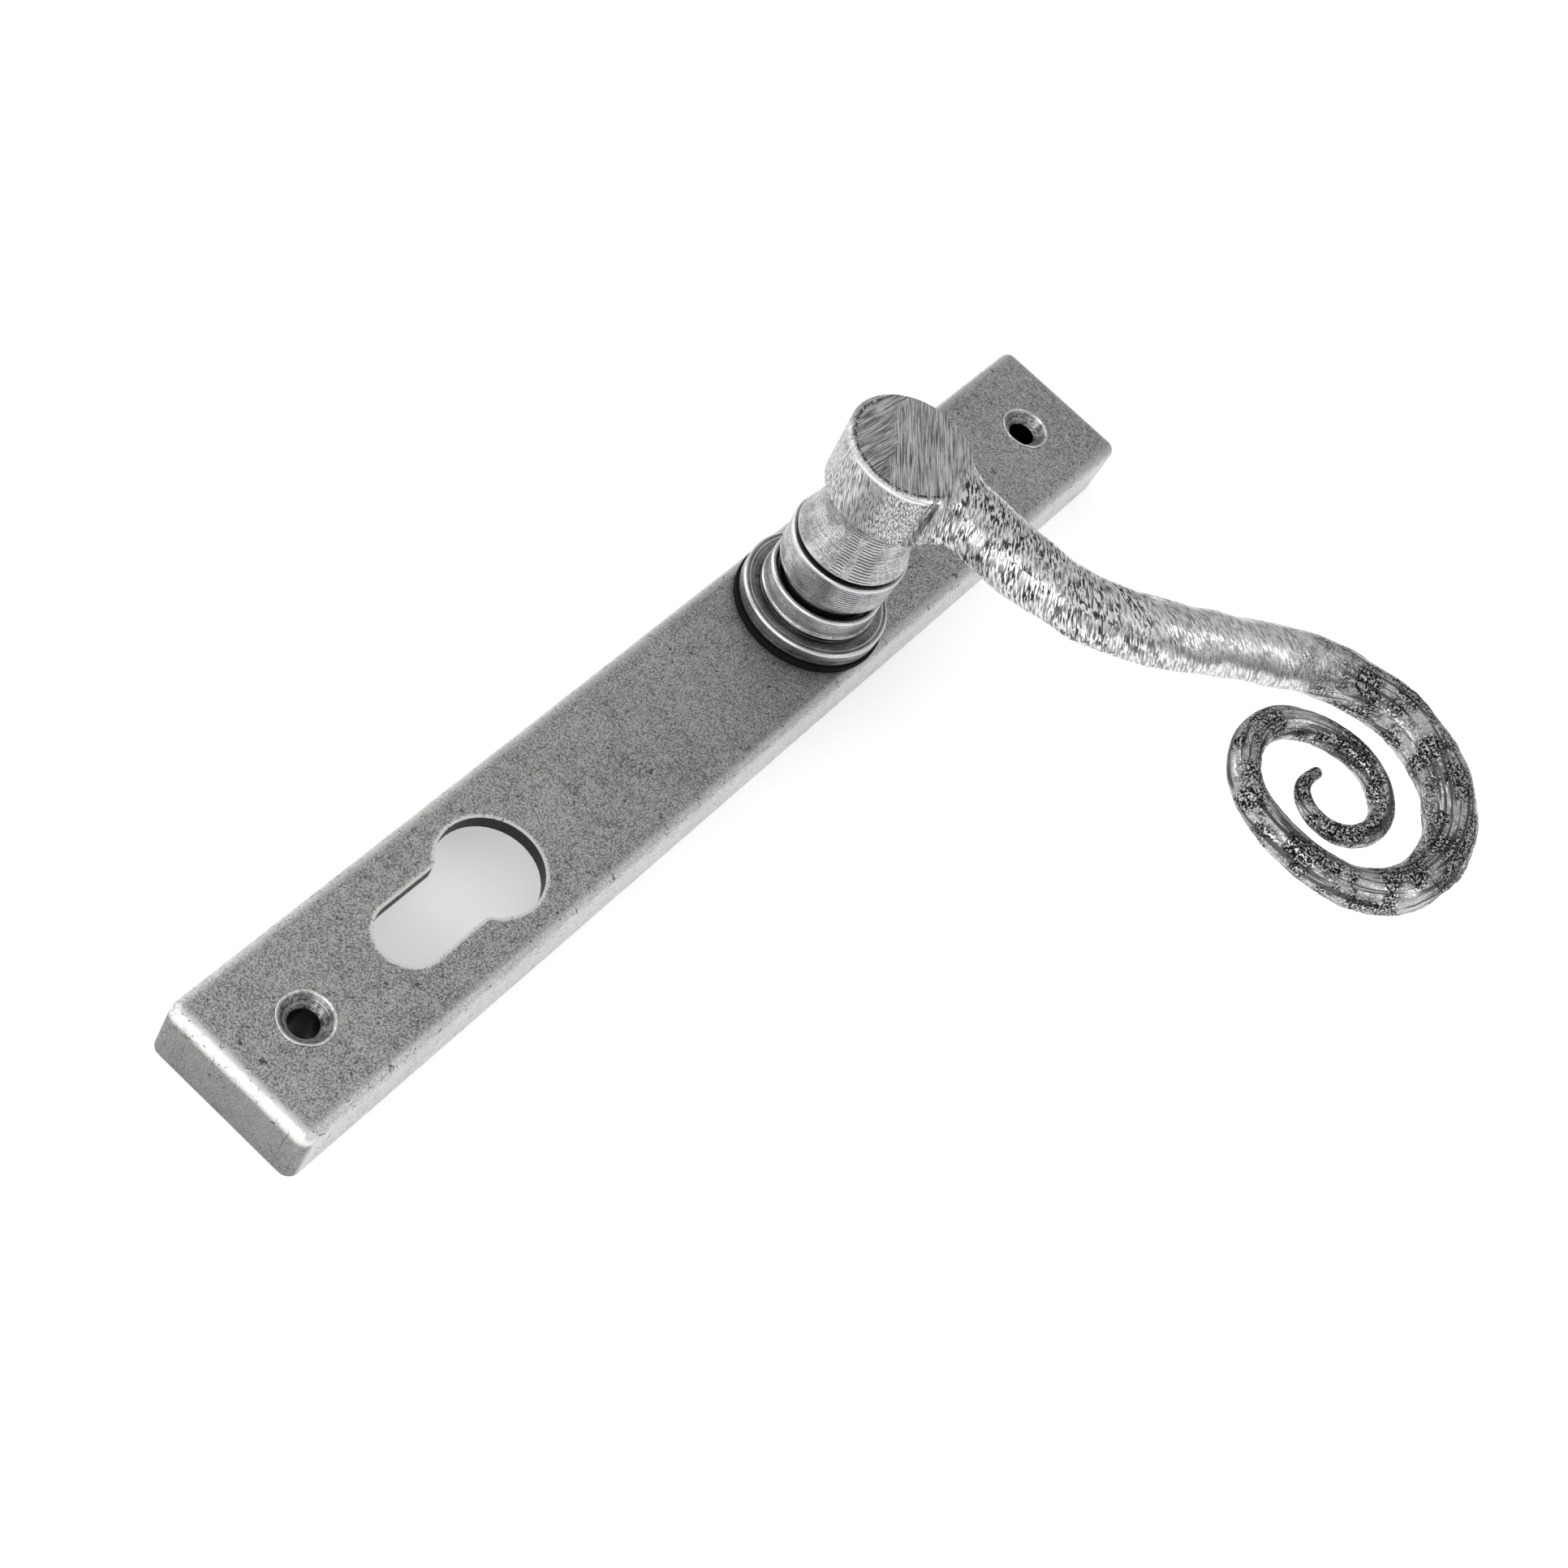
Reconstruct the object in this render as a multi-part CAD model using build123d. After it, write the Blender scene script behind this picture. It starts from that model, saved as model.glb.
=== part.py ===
from build123d import *
import math
import os

# Sprung monkeytail lever on a long hollow backplate, for a multipoint door lock.
# Millimetres. Origin: spindle axis on the plate's back face. +Z away from the door,
# +Y up the plate, +X the way the lever points at rest.

# ---- driving dimensions -------------------------------------------------
PLATE_LENGTH = 246.0
PLATE_WIDTH = 31.0
PLATE_DEPTH = 13.0
FACE_WALL = 3.0
SIDE_WALL = 2.4
PLATE_EDGE = 2.0
PLATE_CORNER = 2.2

SCREW_SPACING = 215.0
SPINDLE_TO_MIDDLE = 29.4
CYLINDER_DROP = 92.0
CYLINDER_R = 9.7
CYLINDER_LEG = 6.1
CYLINDER_REACH = 20.4
CYLINDER_FILLET = 1.8

SCREW_R = 2.7
SOCKET_R = 5.1
SOCKET_RIM = 0.45
SOCKET_PROUD = 0.25
PILLAR_R = 6.6

SPINDLE = 8.0
SOCKET_DEPTH = 32.0
SOCKET_WALL = 1.25
TAIL_STEP = 0.6
TAIL_FLAT_DEPTH = 0.7
SHOULDER_STEP = 1.8
NECK_STEP = 1.7
NECK_GROOVE_DEPTH = 0.8
NECK_GROOVE = 0.5

LEVER_HEIGHT = 54.7
HEAD_R = 12.0
HEAD_LOW = 48.0
HEAD_TOP = 61.4
BAND_LOW = 26.6
BAND_TOP = 34.1
BAND_WALL = 2.0

LINER_WALL = 1.05
COLLAR_WALL = 2.35
RING_STEP = 0.5
FLANGE_R = 14.4
FLANGE_TOP = 17.9
RING_TOP = 23.4
RING_GROOVE = 0.5
WASHER_R = 14.8
WASHER_THICK = 1.5
COLLAR_BEVEL = 0.4

WIRE = 1.2
HUB_WALL = 1.3
BRACKET_THICK = 1.2
LIP_THICK = 0.6
LIP_STEP = 1.0
THRUST_THICK = 0.5
COVER_THICK = 1.0
CLIP_THICK = 0.9
CLIP_BITE = 0.5
CLIP_PROUD = 1.5
CLIP_EAR_R = 1.1
ARM_THICK = 1.1
LUG_HALF = 3.0
TAB_THICK = 1.5
POST_R = 2.15
RIVET_R = 1.3
STOP_R = 1.5
STOP_RIVET_R = 1.05
STOP_SPARE = 1.5
STOP_SET = 0.2
SMALL_SCREW_R = 0.85
SMALL_HEAD_R = 1.9
SMALL_SCREW_DEPTH = 4.0
CASSETTE_LENGTH = 42.0
TAIL_LOW = 0.5
TRAVEL = 45.0

# the grip's centreline and thickness, from inside the head to the start of the scroll
GRIP = [
    (4.0, 2.3, 13.2),
    (13.5, 2.9, 13.2),
    (24.0, 3.3, 12.6),
    (32.5, 4.4, 12.1),
    (40.0, 6.2, 12.1),
    (47.0, 10.1, 12.3),
    (53.5, 15.0, 12.2),
    (62.0, 23.1, 11.5),
    (70.5, 30.9, 11.2),
    (77.5, 36.3, 10.9),
    (85.5, 39.5, 10.3),
]
# the scroll, at each eighth of a turn from its top: reach from the eye, thickness
EYE = (95.0, 15.0)
SCROLL = [
    (25.7, 10.0),
    (22.9, 9.9),
    (20.4, 8.9),
    (19.7, 7.7),
    (18.3, 6.6),
    (19.4, 6.1),
    (17.6, 6.0),
    (12.7, 5.6),
    (9.7, 5.1),
    (8.4, 4.9),
    (8.2, 4.6),
    (8.8, 4.2),
    (9.0, 3.4),
    (7.9, 2.9),
    (5.6, 2.2),
]

# ---- working clearances -------------------------------------------------
RUN = 0.05
SEAT = 0.02
FACE_GAP = 0.10
SWING_GAP = 0.35
WALL_GAP = 0.6
EDGE_GAP = 0.4

# ---- sizes worked out from those above ----------------------------------
TAIL_R = SPINDLE * math.sqrt(0.5) + SOCKET_WALL
TAIL_FLAT = TAIL_R - TAIL_FLAT_DEPTH
SHANK_R = TAIL_R + TAIL_STEP
SHOULDER_R = SHANK_R + SHOULDER_STEP
NECK_R = SHOULDER_R + NECK_STEP
BAND_R = SHOULDER_R + BAND_WALL
LINER_R = SHANK_R + RUN + LINER_WALL
SPIGOT_R = LINER_R + SEAT + COLLAR_WALL
RING_R = SPIGOT_R + RING_STEP
LIP_R = SPIGOT_R + LIP_STEP

UNDER_FACE = PLATE_DEPTH - FACE_WALL
FLANGE_LOW = PLATE_DEPTH + WASHER_THICK
BRACKET_LOW = UNDER_FACE - BRACKET_THICK
LIP_LOW = BRACKET_LOW - LIP_THICK
THRUST_TOP = LIP_LOW - 2 * FACE_GAP
THRUST_LOW = THRUST_TOP - THRUST_THICK
HUB_TOP = THRUST_LOW - FACE_GAP
CLIP_LOW = COVER_THICK + FACE_GAP
CLIP_TOP = CLIP_LOW + CLIP_THICK
HUB_LOW = CLIP_TOP + FACE_GAP
ARM_TOP = HUB_LOW + ARM_THICK
SHOULDER_LOW = RING_TOP + 2 * FACE_GAP

BOSS_R = TAIL_R + HUB_WALL
COIL_R = BOSS_R + SWING_GAP + WIRE / 2
COIL_PITCH = WIRE + FACE_GAP
COIL_TURNS = math.floor((HUB_TOP - ARM_TOP - COIL_PITCH) / COIL_PITCH)
HALF_INSIDE = PLATE_WIDTH / 2 - SIDE_WALL
ARM_REACH = HALF_INSIDE - WALL_GAP
POST_REACH = max(ARM_REACH, LIP_R) + SWING_GAP + POST_R
CLIP_R = TAIL_R + CLIP_PROUD
STOP_REACH = max(ARM_REACH - STOP_SET, CLIP_R + SWING_GAP + 2 * STOP_R) - STOP_R
CASSETTE_WIDTH = 2 * (HALF_INSIDE - EDGE_GAP)
MIDDLE_Y = -SPINDLE_TO_MIDDLE
SCREW_YS = (MIDDLE_Y + SCREW_SPACING / 2, MIDDLE_Y - SCREW_SPACING / 2)


def disc(radius, low, high, x=0.0, y=0.0):
    """A round solid between two heights."""
    solid = Cylinder(radius, high - low, align=(Align.CENTER, Align.CENTER, Align.MIN))
    return Pos(x, y, low) * solid


def tube(outer, inner, low, high, x=0.0, y=0.0):
    """A round solid with a hole down its middle."""
    return disc(outer, low, high, x, y) - disc(inner, low - 1, high + 1, x, y)


def block(width, length, low, high, x=0.0, y=0.0):
    """A rectangular solid between two heights."""
    solid = Box(width, length, high - low, align=(Align.CENTER, Align.CENTER, Align.MIN))
    return Pos(x, y, low) * solid


def turned(points):
    """A solid turned about +Z from (radius, height) corners."""
    profile = Plane.XZ * make_face(Polyline(*points, close=True).edges())
    return revolve(profile, Axis.Z)


def cylinder_cut():
    """The keyhole-shaped opening for the lock cylinder."""
    centre = -CYLINDER_DROP
    low = centre - CYLINDER_REACH
    round_part = Pos(0, centre) * Circle(CYLINDER_R)
    leg = Pos(0, (centre + low) / 2) * Rectangle(2 * CYLINDER_LEG, centre - low)
    foot = Pos(0, low) * Circle(CYLINDER_LEG)
    outline = offset(round_part + leg + foot, CYLINDER_FILLET)
    outline = offset(outline, -CYLINDER_FILLET)
    return extrude(Pos(0, 0, -1) * outline, PLATE_DEPTH + 2)


def backplate():
    """Hollow pressed cover: face, four walls, open towards the door."""
    shell = block(PLATE_WIDTH, PLATE_LENGTH, 0, PLATE_DEPTH, 0, MIDDLE_Y)
    shell = fillet(shell.edges().filter_by(Axis.Z), PLATE_CORNER)
    shell = fillet(shell.faces().sort_by(Axis.Z)[-1].edges(), PLATE_EDGE)
    inside = block(
        PLATE_WIDTH - 2 * SIDE_WALL,
        PLATE_LENGTH - 2 * SIDE_WALL,
        -1,
        UNDER_FACE,
        0,
        MIDDLE_Y,
    )
    shell = shell - inside - cylinder_cut()
    shell = shell - disc(SPIGOT_R + SEAT, 0, PLATE_DEPTH + 1)
    for y in SCREW_YS:
        shell = shell - disc(SOCKET_R + SEAT, 0, PLATE_DEPTH + 1, 0, y)
    return shell


def screw_pillar(y):
    """Turned pillar from the back plane to the face, countersunk for a fixing screw."""
    top = PLATE_DEPTH + SOCKET_PROUD
    mouth = SOCKET_R - SOCKET_RIM
    pillar = turned([
        (SCREW_R, 0),
        (PILLAR_R, 0),
        (PILLAR_R, UNDER_FACE),
        (SOCKET_R, UNDER_FACE),
        (SOCKET_R, top),
        (mouth, top),
        (SCREW_R, top - (mouth - SCREW_R)),
    ])
    return Pos(0, y) * pillar


def plate_washer():
    """Black washer between the plate's face and the collar's flange."""
    return tube(WASHER_R, SPIGOT_R + SEAT, PLATE_DEPTH, FLANGE_LOW)


def bearing_collar():
    """Stepped collar: flange, raised ring, and a spigot rolled over behind the plate."""
    bore = LINER_R + SEAT
    return turned([
        (bore, LIP_LOW),
        (LIP_R, LIP_LOW),
        (LIP_R, BRACKET_LOW),
        (SPIGOT_R, BRACKET_LOW),
        (SPIGOT_R, FLANGE_LOW),
        (FLANGE_R, FLANGE_LOW),
        (FLANGE_R, FLANGE_TOP - COLLAR_BEVEL),
        (FLANGE_R - COLLAR_BEVEL, FLANGE_TOP),
        (RING_R - COLLAR_BEVEL, FLANGE_TOP),
        (RING_R - COLLAR_BEVEL, FLANGE_TOP + RING_GROOVE),
        (RING_R, FLANGE_TOP + RING_GROOVE + COLLAR_BEVEL),
        (RING_R, RING_TOP - COLLAR_BEVEL),
        (RING_R - COLLAR_BEVEL, RING_TOP),
        (bore, RING_TOP),
    ])


def nylon_bush():
    """Plain bearing for the lever's shank, lining the collar."""
    return tube(LINER_R, SHANK_R + RUN, LIP_LOW, RING_TOP)


def cassette_bracket():
    """Flat bracket held against the plate by the collar's rolled edge."""
    plate = block(CASSETTE_WIDTH, CASSETTE_LENGTH, BRACKET_LOW, UNDER_FACE)
    plate = plate - disc(SPIGOT_R + SEAT, 0, PLATE_DEPTH)
    for side in (1, -1):
        plate = plate - disc(RIVET_R + SEAT, 0, PLATE_DEPTH, 0, side * POST_REACH)
    return plate


def post(side):
    """Round post riveted into the bracket and drilled for a cover screw."""
    y = side * POST_REACH
    body = disc(POST_R, COVER_THICK, BRACKET_LOW, 0, y)
    body = body + disc(RIVET_R, BRACKET_LOW, UNDER_FACE, 0, y)
    return body - disc(SMALL_SCREW_R + SEAT, 0, COVER_THICK + SMALL_SCREW_DEPTH, 0, y)


def spring_cover():
    """Back cover of the spring space, flush with the plate's back."""
    cover = block(CASSETTE_WIDTH, CASSETTE_LENGTH, 0, COVER_THICK)
    cover = cover - disc(TAIL_R + EDGE_GAP, -1, COVER_THICK + 1)
    for side in (1, -1):
        cone = turned([
            (0, 0),
            (SMALL_HEAD_R + SEAT, 0),
            (SMALL_SCREW_R + SEAT, COVER_THICK),
            (0, COVER_THICK),
        ])
        cover = cover - Pos(0, side * POST_REACH) * cone
    for turn in (-1, 1):
        x, y = stop_place(turn)
        cover = cover - disc(STOP_RIVET_R + SEAT, -1, COVER_THICK + 1, x, y)
    return cover


def cover_screws():
    """Two small countersunk screws that hold the cover on its posts."""
    screws = []
    for side in (1, -1):
        screw = turned([
            (0, FACE_GAP),
            (SMALL_HEAD_R - 2 * FACE_GAP, FACE_GAP),
            (SMALL_SCREW_R, COVER_THICK),
            (SMALL_SCREW_R, COVER_THICK + SMALL_SCREW_DEPTH - EDGE_GAP),
            (0, COVER_THICK + SMALL_SCREW_DEPTH - EDGE_GAP),
        ])
        slot = block(EDGE_GAP, 2 * SMALL_HEAD_R, 0, COVER_THICK / 2)
        screws.append(Pos(0, side * POST_REACH) * (screw - slot))
    return Compound(screws)


def stop_place(turn):
    """Where a stop pin stands so that the lug meets it past the end of travel."""
    lug = math.degrees(math.atan2(LUG_HALF, STOP_REACH))
    pin = math.degrees(math.asin(STOP_R / STOP_REACH))
    angle = math.radians(-90 + turn * (TRAVEL + lug + pin + STOP_SPARE))
    return STOP_REACH * math.cos(angle), STOP_REACH * math.sin(angle)


def stop_pin(turn):
    """Pin riveted in the cover that stops the drive hub's lug."""
    x, y = stop_place(turn)
    pin = disc(STOP_R, COVER_THICK, ARM_TOP, x, y)
    return pin + disc(STOP_RIVET_R, 0, COVER_THICK, x, y)


def drive_hub():
    """Hub keyed on the lever's tail: boss, lug for the stops, tab for the spring."""
    foot = min(COIL_R, STOP_REACH - STOP_R - SWING_GAP)
    hub = disc(BOSS_R, HUB_LOW, HUB_TOP) + disc(foot, HUB_LOW, ARM_TOP)
    arm = block(2 * LUG_HALF, ARM_REACH, HUB_LOW, ARM_TOP, 0, -ARM_REACH / 2)
    arm = arm + block(2 * POST_R, ARM_REACH, HUB_LOW, ARM_TOP, 0, ARM_REACH / 2)
    tab = block(2 * POST_R, TAB_THICK, ARM_TOP, HUB_TOP, 0, ARM_REACH - TAB_THICK / 2)
    arm = (arm + tab) & disc(ARM_REACH, HUB_LOW, HUB_TOP)
    bore = disc(TAIL_R + SEAT, 0, HUB_TOP + 1)
    bore = bore & block(30, 2 * (TAIL_FLAT + SEAT), 0, HUB_TOP + 1)
    return hub + arm - bore


def thrust_washer():
    """Washer between the drive hub and the collar's rolled edge."""
    return tube(SPIGOT_R - RING_STEP, TAIL_R + SEAT, THRUST_LOW, THRUST_TOP)


def circlip():
    """Open ring in the tail's groove, keeping the lever in its bearing."""
    inner = TAIL_R - CLIP_BITE
    ring = tube(CLIP_R, inner, CLIP_LOW, CLIP_TOP)
    gap = block(4 * CLIP_EAR_R, 2 * TAIL_R, 0, CLIP_TOP + 1, 0, -TAIL_R)
    ring = ring - gap
    for side in (1, -1):
        x = side * 2.4 * CLIP_EAR_R
        y = -TAIL_R - CLIP_EAR_R / 3
        ring = ring + disc(CLIP_EAR_R, CLIP_LOW, CLIP_TOP, x, y)
        ring = ring - disc(CLIP_EAR_R / 2, 0, CLIP_TOP + 1, x, y - CLIP_EAR_R / 6)
    return ring - disc(inner, 0, CLIP_TOP + 1)


def return_spring():
    """Coil round the hub whose two legs hold the tab and the post between them."""
    low = ARM_TOP + FACE_GAP + WIRE / 2
    lean = math.degrees(math.asin((POST_R + FACE_GAP / 2 + WIRE / 2) / COIL_R))
    coil = Helix(COIL_PITCH, COIL_PITCH * (COIL_TURNS + 2 * lean / 360), COIL_R)
    coil = Pos(0, 0, low) * Rot(0, 0, 90 - lean) * coil
    wire = sweep(Plane(coil @ 0, z_dir=coil % 0) * Circle(WIRE / 2), coil, is_frenet=True)
    reach = POST_REACH + POST_R - EDGE_GAP
    for at in (coil @ 0, coil @ 1):
        leg = extrude(Plane(at, z_dir=(0, 1, 0)) * Circle(WIRE / 2), reach - at.Y)
        wire = wire + leg + Pos(at.X, at.Y, at.Z) * Sphere(WIRE / 2)
    return wire


def lever_stations():
    """Centreline points and thicknesses from the head to the tip of the scroll."""
    stations = list(GRIP)
    for step, (reach, thick) in enumerate(SCROLL):
        angle = math.radians(90 - 45 * step)
        x = EYE[0] + reach * math.cos(angle)
        y = EYE[1] + reach * math.sin(angle)
        stations.append((x, y, thick))
    return stations


def lever_bar():
    """Round tapering bar bent into the grip and the scroll."""
    stations = lever_stations()
    path = Spline(*[(x, y, LEVER_HEIGHT) for x, y, _ in stations])
    places = [path.param_at_point((x, y, LEVER_HEIGHT)) for x, y, _ in stations]
    rings = []
    for place, (_, _, thick) in zip(places, stations):
        frame = Plane(path @ place, x_dir=(0, 0, -1), z_dir=path % place)
        rings.append(frame * Circle(thick / 2))
    bar = loft(rings)
    tip = path @ places[-1]
    return bar + Pos(tip.X, tip.Y, tip.Z) * Sphere(stations[-1][2] / 2)


def lever_core():
    """Head, neck, shank and tail, turned in one with the lever."""
    step = LIP_LOW - FACE_GAP
    groove = NECK_R - NECK_GROOVE_DEPTH
    neck_low = BAND_TOP + NECK_GROOVE
    under_head = (HEAD_R - 2.4, HEAD_LOW - 0.8)
    waist = Spline(
        (NECK_R, neck_low),
        (NECK_R - 0.9, neck_low + 3.4),
        (NECK_R - 1.9, neck_low + 7.4),
        (NECK_R - 2.4, HEAD_LOW - 2.5),
        under_head,
    )
    edges = [
        Polyline(
            (0, TAIL_LOW),
            (TAIL_R, TAIL_LOW),
            (TAIL_R, step),
            (SHANK_R, step),
            (SHANK_R, SHOULDER_LOW),
            (SHOULDER_R, SHOULDER_LOW),
            (SHOULDER_R, BAND_TOP),
            (groove, BAND_TOP),
            (groove, neck_low),
            (NECK_R, neck_low),
        ),
        waist,
        Polyline(
            under_head,
            (HEAD_R - 0.6, HEAD_LOW),
            (HEAD_R, HEAD_LOW + 1.0),
            (HEAD_R + 0.4, HEAD_TOP - 0.8),
            (HEAD_R - 0.3, HEAD_TOP),
            (0, HEAD_TOP),
            (0, TAIL_LOW),
        ),
    ]
    return revolve(Plane.XZ * make_face(edges), Axis.Z)


def lever():
    """The whole forging, with the square socket and the circlip's groove."""
    solid = lever_core() + lever_bar()
    solid = solid - block(SPINDLE, SPINDLE, 0, SOCKET_DEPTH)
    groove = tube(SHANK_R, TAIL_R - CLIP_BITE - SEAT, CLIP_LOW, CLIP_TOP)
    for side in (1, -1):
        y = side * (TAIL_FLAT + TAIL_R / 2)
        groove = groove + block(4 * TAIL_R, TAIL_R, 0, HUB_TOP, 0, y)
    return solid - groove


def neck_band():
    """Turned band on the shank below the neck."""
    bore = SHOULDER_R + SEAT
    return turned([
        (bore, BAND_LOW),
        (BAND_R - COLLAR_BEVEL, BAND_LOW),
        (BAND_R, BAND_LOW + COLLAR_BEVEL),
        (BAND_R + 0.1, BAND_TOP - COLLAR_BEVEL),
        (BAND_R - 0.3, BAND_TOP),
        (bore, BAND_TOP),
    ])


os.makedirs("parts", exist_ok=True)
PIECES = {
    "backplate": backplate(),
    "upper_screw_pillar": screw_pillar(SCREW_YS[0]),
    "lower_screw_pillar": screw_pillar(SCREW_YS[1]),
    "plate_washer": plate_washer(),
    "bearing_collar": bearing_collar(),
    "nylon_bush": nylon_bush(),
    "cassette_bracket": cassette_bracket(),
    "spring_post": post(1),
    "cover_post": post(-1),
    "spring_cover": spring_cover(),
    "cover_screws": cover_screws(),
    "left_stop_pin": stop_pin(-1),
    "right_stop_pin": stop_pin(1),
    "return_spring": return_spring(),
    "lever": lever(),
    "neck_band": neck_band(),
    "drive_hub": drive_hub(),
    "thrust_washer": thrust_washer(),
    "circlip": circlip(),
}
for name, piece in PIECES.items():
    export_step(piece, f"parts/{name}.step")
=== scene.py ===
# %% [markdown]
# A sprung lever handle with a scrolled end, lying on a pale table.
# The engineering model is loaded first and never changed. Each piece that shows hand work gets a
# finer surface worked out with numpy, and every other piece keeps its own mesh and gets a finish.

# %% The frame and the helpers' home
import functools
import math
import bpy
import bmesh
import numpy as np
from mathutils import Matrix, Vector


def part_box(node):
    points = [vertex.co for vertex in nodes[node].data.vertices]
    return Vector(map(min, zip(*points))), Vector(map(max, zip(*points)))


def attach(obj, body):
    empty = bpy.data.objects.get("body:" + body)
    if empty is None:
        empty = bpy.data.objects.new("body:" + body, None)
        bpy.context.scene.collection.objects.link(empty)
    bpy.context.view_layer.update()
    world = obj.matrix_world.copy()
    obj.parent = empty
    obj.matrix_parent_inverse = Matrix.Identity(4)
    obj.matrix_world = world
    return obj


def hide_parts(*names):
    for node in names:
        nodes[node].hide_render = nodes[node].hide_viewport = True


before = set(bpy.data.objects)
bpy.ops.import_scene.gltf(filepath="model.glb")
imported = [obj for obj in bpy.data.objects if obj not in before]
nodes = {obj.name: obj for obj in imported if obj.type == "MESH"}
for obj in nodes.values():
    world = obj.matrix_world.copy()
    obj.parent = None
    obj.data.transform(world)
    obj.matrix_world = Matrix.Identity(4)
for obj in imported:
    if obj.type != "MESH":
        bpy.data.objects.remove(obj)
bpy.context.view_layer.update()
MM = 0.001
print("pieces in the frame:", len(nodes))

# %% [markdown]
# A forged surface could be sculpted by hand or remeshed from blocks. Here each one is a grid of points
# given by a formula, because a grid keeps clean lines along the bar and carries its own map.

# %% A grid of points becomes a closed piece
def grid_piece(name, points, along, around):
    """A tube: row i is a closed ring of points in mm; along[i] and around[i, j] in mm become the map."""
    rows, cols, _ = points.shape
    i = np.arange(rows - 1)[:, None]
    j = np.arange(cols)[None, :]
    k = (j + 1) % cols
    faces = np.stack([i * cols + j, (i + 1) * cols + j, (i + 1) * cols + k, i * cols + k], axis=-1)
    faces = faces.reshape(-1, 4)
    flat = points.reshape(-1, 3)
    a, b, c, d = (flat[faces[:, n]] for n in range(4))
    volume = np.einsum("ij,ij->", a, np.cross(b, c)) + np.einsum("ij,ij->", a, np.cross(c, d))
    u = np.broadcast_to(along[:, None], (rows, cols + 1))
    corners = [(i, j), (i + 1, j), (i + 1, j + 1), (i, j + 1)]
    uv = np.stack([np.stack([u[p, q], around[p, q]], axis=-1) for p, q in corners], axis=2)
    uv = uv.reshape(-1, 4, 2)
    if volume < 0:
        faces = faces[:, ::-1]
        uv = uv[:, ::-1]
    mesh = bpy.data.meshes.new(name)
    mesh.from_pydata((flat * MM).tolist(), [], faces.tolist())
    layer = mesh.uv_layers.new(name="surface")
    layer.data.foreach_set("uv", uv.reshape(-1).astype(np.float32))
    clean = bmesh.new()
    clean.from_mesh(mesh)
    bmesh.ops.remove_doubles(clean, verts=clean.verts, dist=1e-7)
    bmesh.ops.dissolve_degenerate(clean, edges=clean.edges, dist=1e-8)
    clean.to_mesh(mesh)
    clean.free()
    mesh.shade_smooth()
    piece = bpy.data.objects.new(name, mesh)
    bpy.context.scene.collection.objects.link(piece)
    print(name, "faces:", len(mesh.polygons))
    return piece


def smooth_line(knots, values, at):
    """Natural cubic spline through values at the knots, read at the places given."""
    knots = np.asarray(knots, float)
    values = np.asarray(values, float)
    h = np.diff(knots)
    slope = np.diff(values, axis=0) / h.reshape(-1, *[1] * (values.ndim - 1))
    size = len(knots)
    matrix = np.eye(size)
    right = np.zeros_like(values)
    row = np.arange(1, size - 1)
    matrix[row, row - 1] = h[:-1]
    matrix[row, row] = 2 * (h[:-1] + h[1:])
    matrix[row, row + 1] = h[1:]
    right[1:-1] = 6 * np.diff(slope, axis=0)
    bend = np.linalg.solve(matrix, right)
    at = np.asarray(at, float)
    k = np.clip(np.searchsorted(knots, at) - 1, 0, size - 2)
    shape = (-1,) + (1,) * (values.ndim - 1)
    step = h[k].reshape(shape)
    left = (at - knots[k]).reshape(shape)
    rest = step - left
    line = (bend[k] * rest**3 + bend[k + 1] * left**3) / (6 * step)
    line = line + (values[k] / step - bend[k] * step / 6) * rest
    return line + (values[k + 1] / step - bend[k + 1] * step / 6) * left


# %% [markdown]
# The lever is one forging. It starts as round bar: one end is upset into a thick disc, the other is drawn
# out to a taper and curled. So the model carries one section along one curved line: a flat-topped slab
# across the disc that melts into a round bar, then thins away to the tip of the scroll.

# %% The forging's centreline
GRIP = [
    (24.0, 3.3, 12.6),
    (32.5, 4.4, 12.1),
    (40.0, 6.2, 12.1),
    (47.0, 10.1, 12.3),
    (53.5, 15.0, 12.2),
    (62.0, 23.1, 11.5),
    (70.5, 30.9, 11.2),
    (77.5, 36.3, 10.9),
    (85.5, 39.5, 10.3),
]
EYE = (95.0, 15.0)
SCROLL = [
    (25.7, 10.0),
    (22.9, 9.9),
    (20.4, 8.9),
    (19.7, 7.7),
    (18.3, 6.6),
    (19.4, 6.1),
    (17.6, 6.0),
    (12.7, 5.6),
    (9.7, 5.1),
    (8.4, 4.9),
    (8.2, 4.6),
    (8.8, 4.2),
    (9.0, 3.4),
    (7.9, 2.9),
    (5.6, 2.2),
]
HEAD_R = 12.1
HEAD_LOW = 48.0
HEAD_TOP = 61.4
MIDDLE = (HEAD_LOW + HEAD_TOP) / 2
HALF_TALL = (HEAD_TOP - HEAD_LOW) / 2
turn = np.radians(90 - 45 * np.arange(len(SCROLL)))
reach, thick = np.array(SCROLL).T
curl = np.stack([EYE[0] + reach * np.cos(turn), EYE[1] + reach * np.sin(turn), thick], axis=1)
root = np.array([(-HEAD_R, 0.0, 13.4), (-4.0, 0.0, 13.4), (4.0, 0.7, 13.4), (13.5, 2.9, 13.2)])
stations = np.vstack([root, GRIP, curl])
knots = np.r_[0, np.cumsum(np.hypot(*np.diff(stations[:, :2], axis=0).T))]
LENGTH = knots[-1]
print("bar length along its middle, mm:", round(float(LENGTH)))

# %% [markdown]
# Hammer and file never leave a true circle. A few slow waves that run round and along the bar give the
# flats and the long ridges that the eye reads as handwork.

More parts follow.
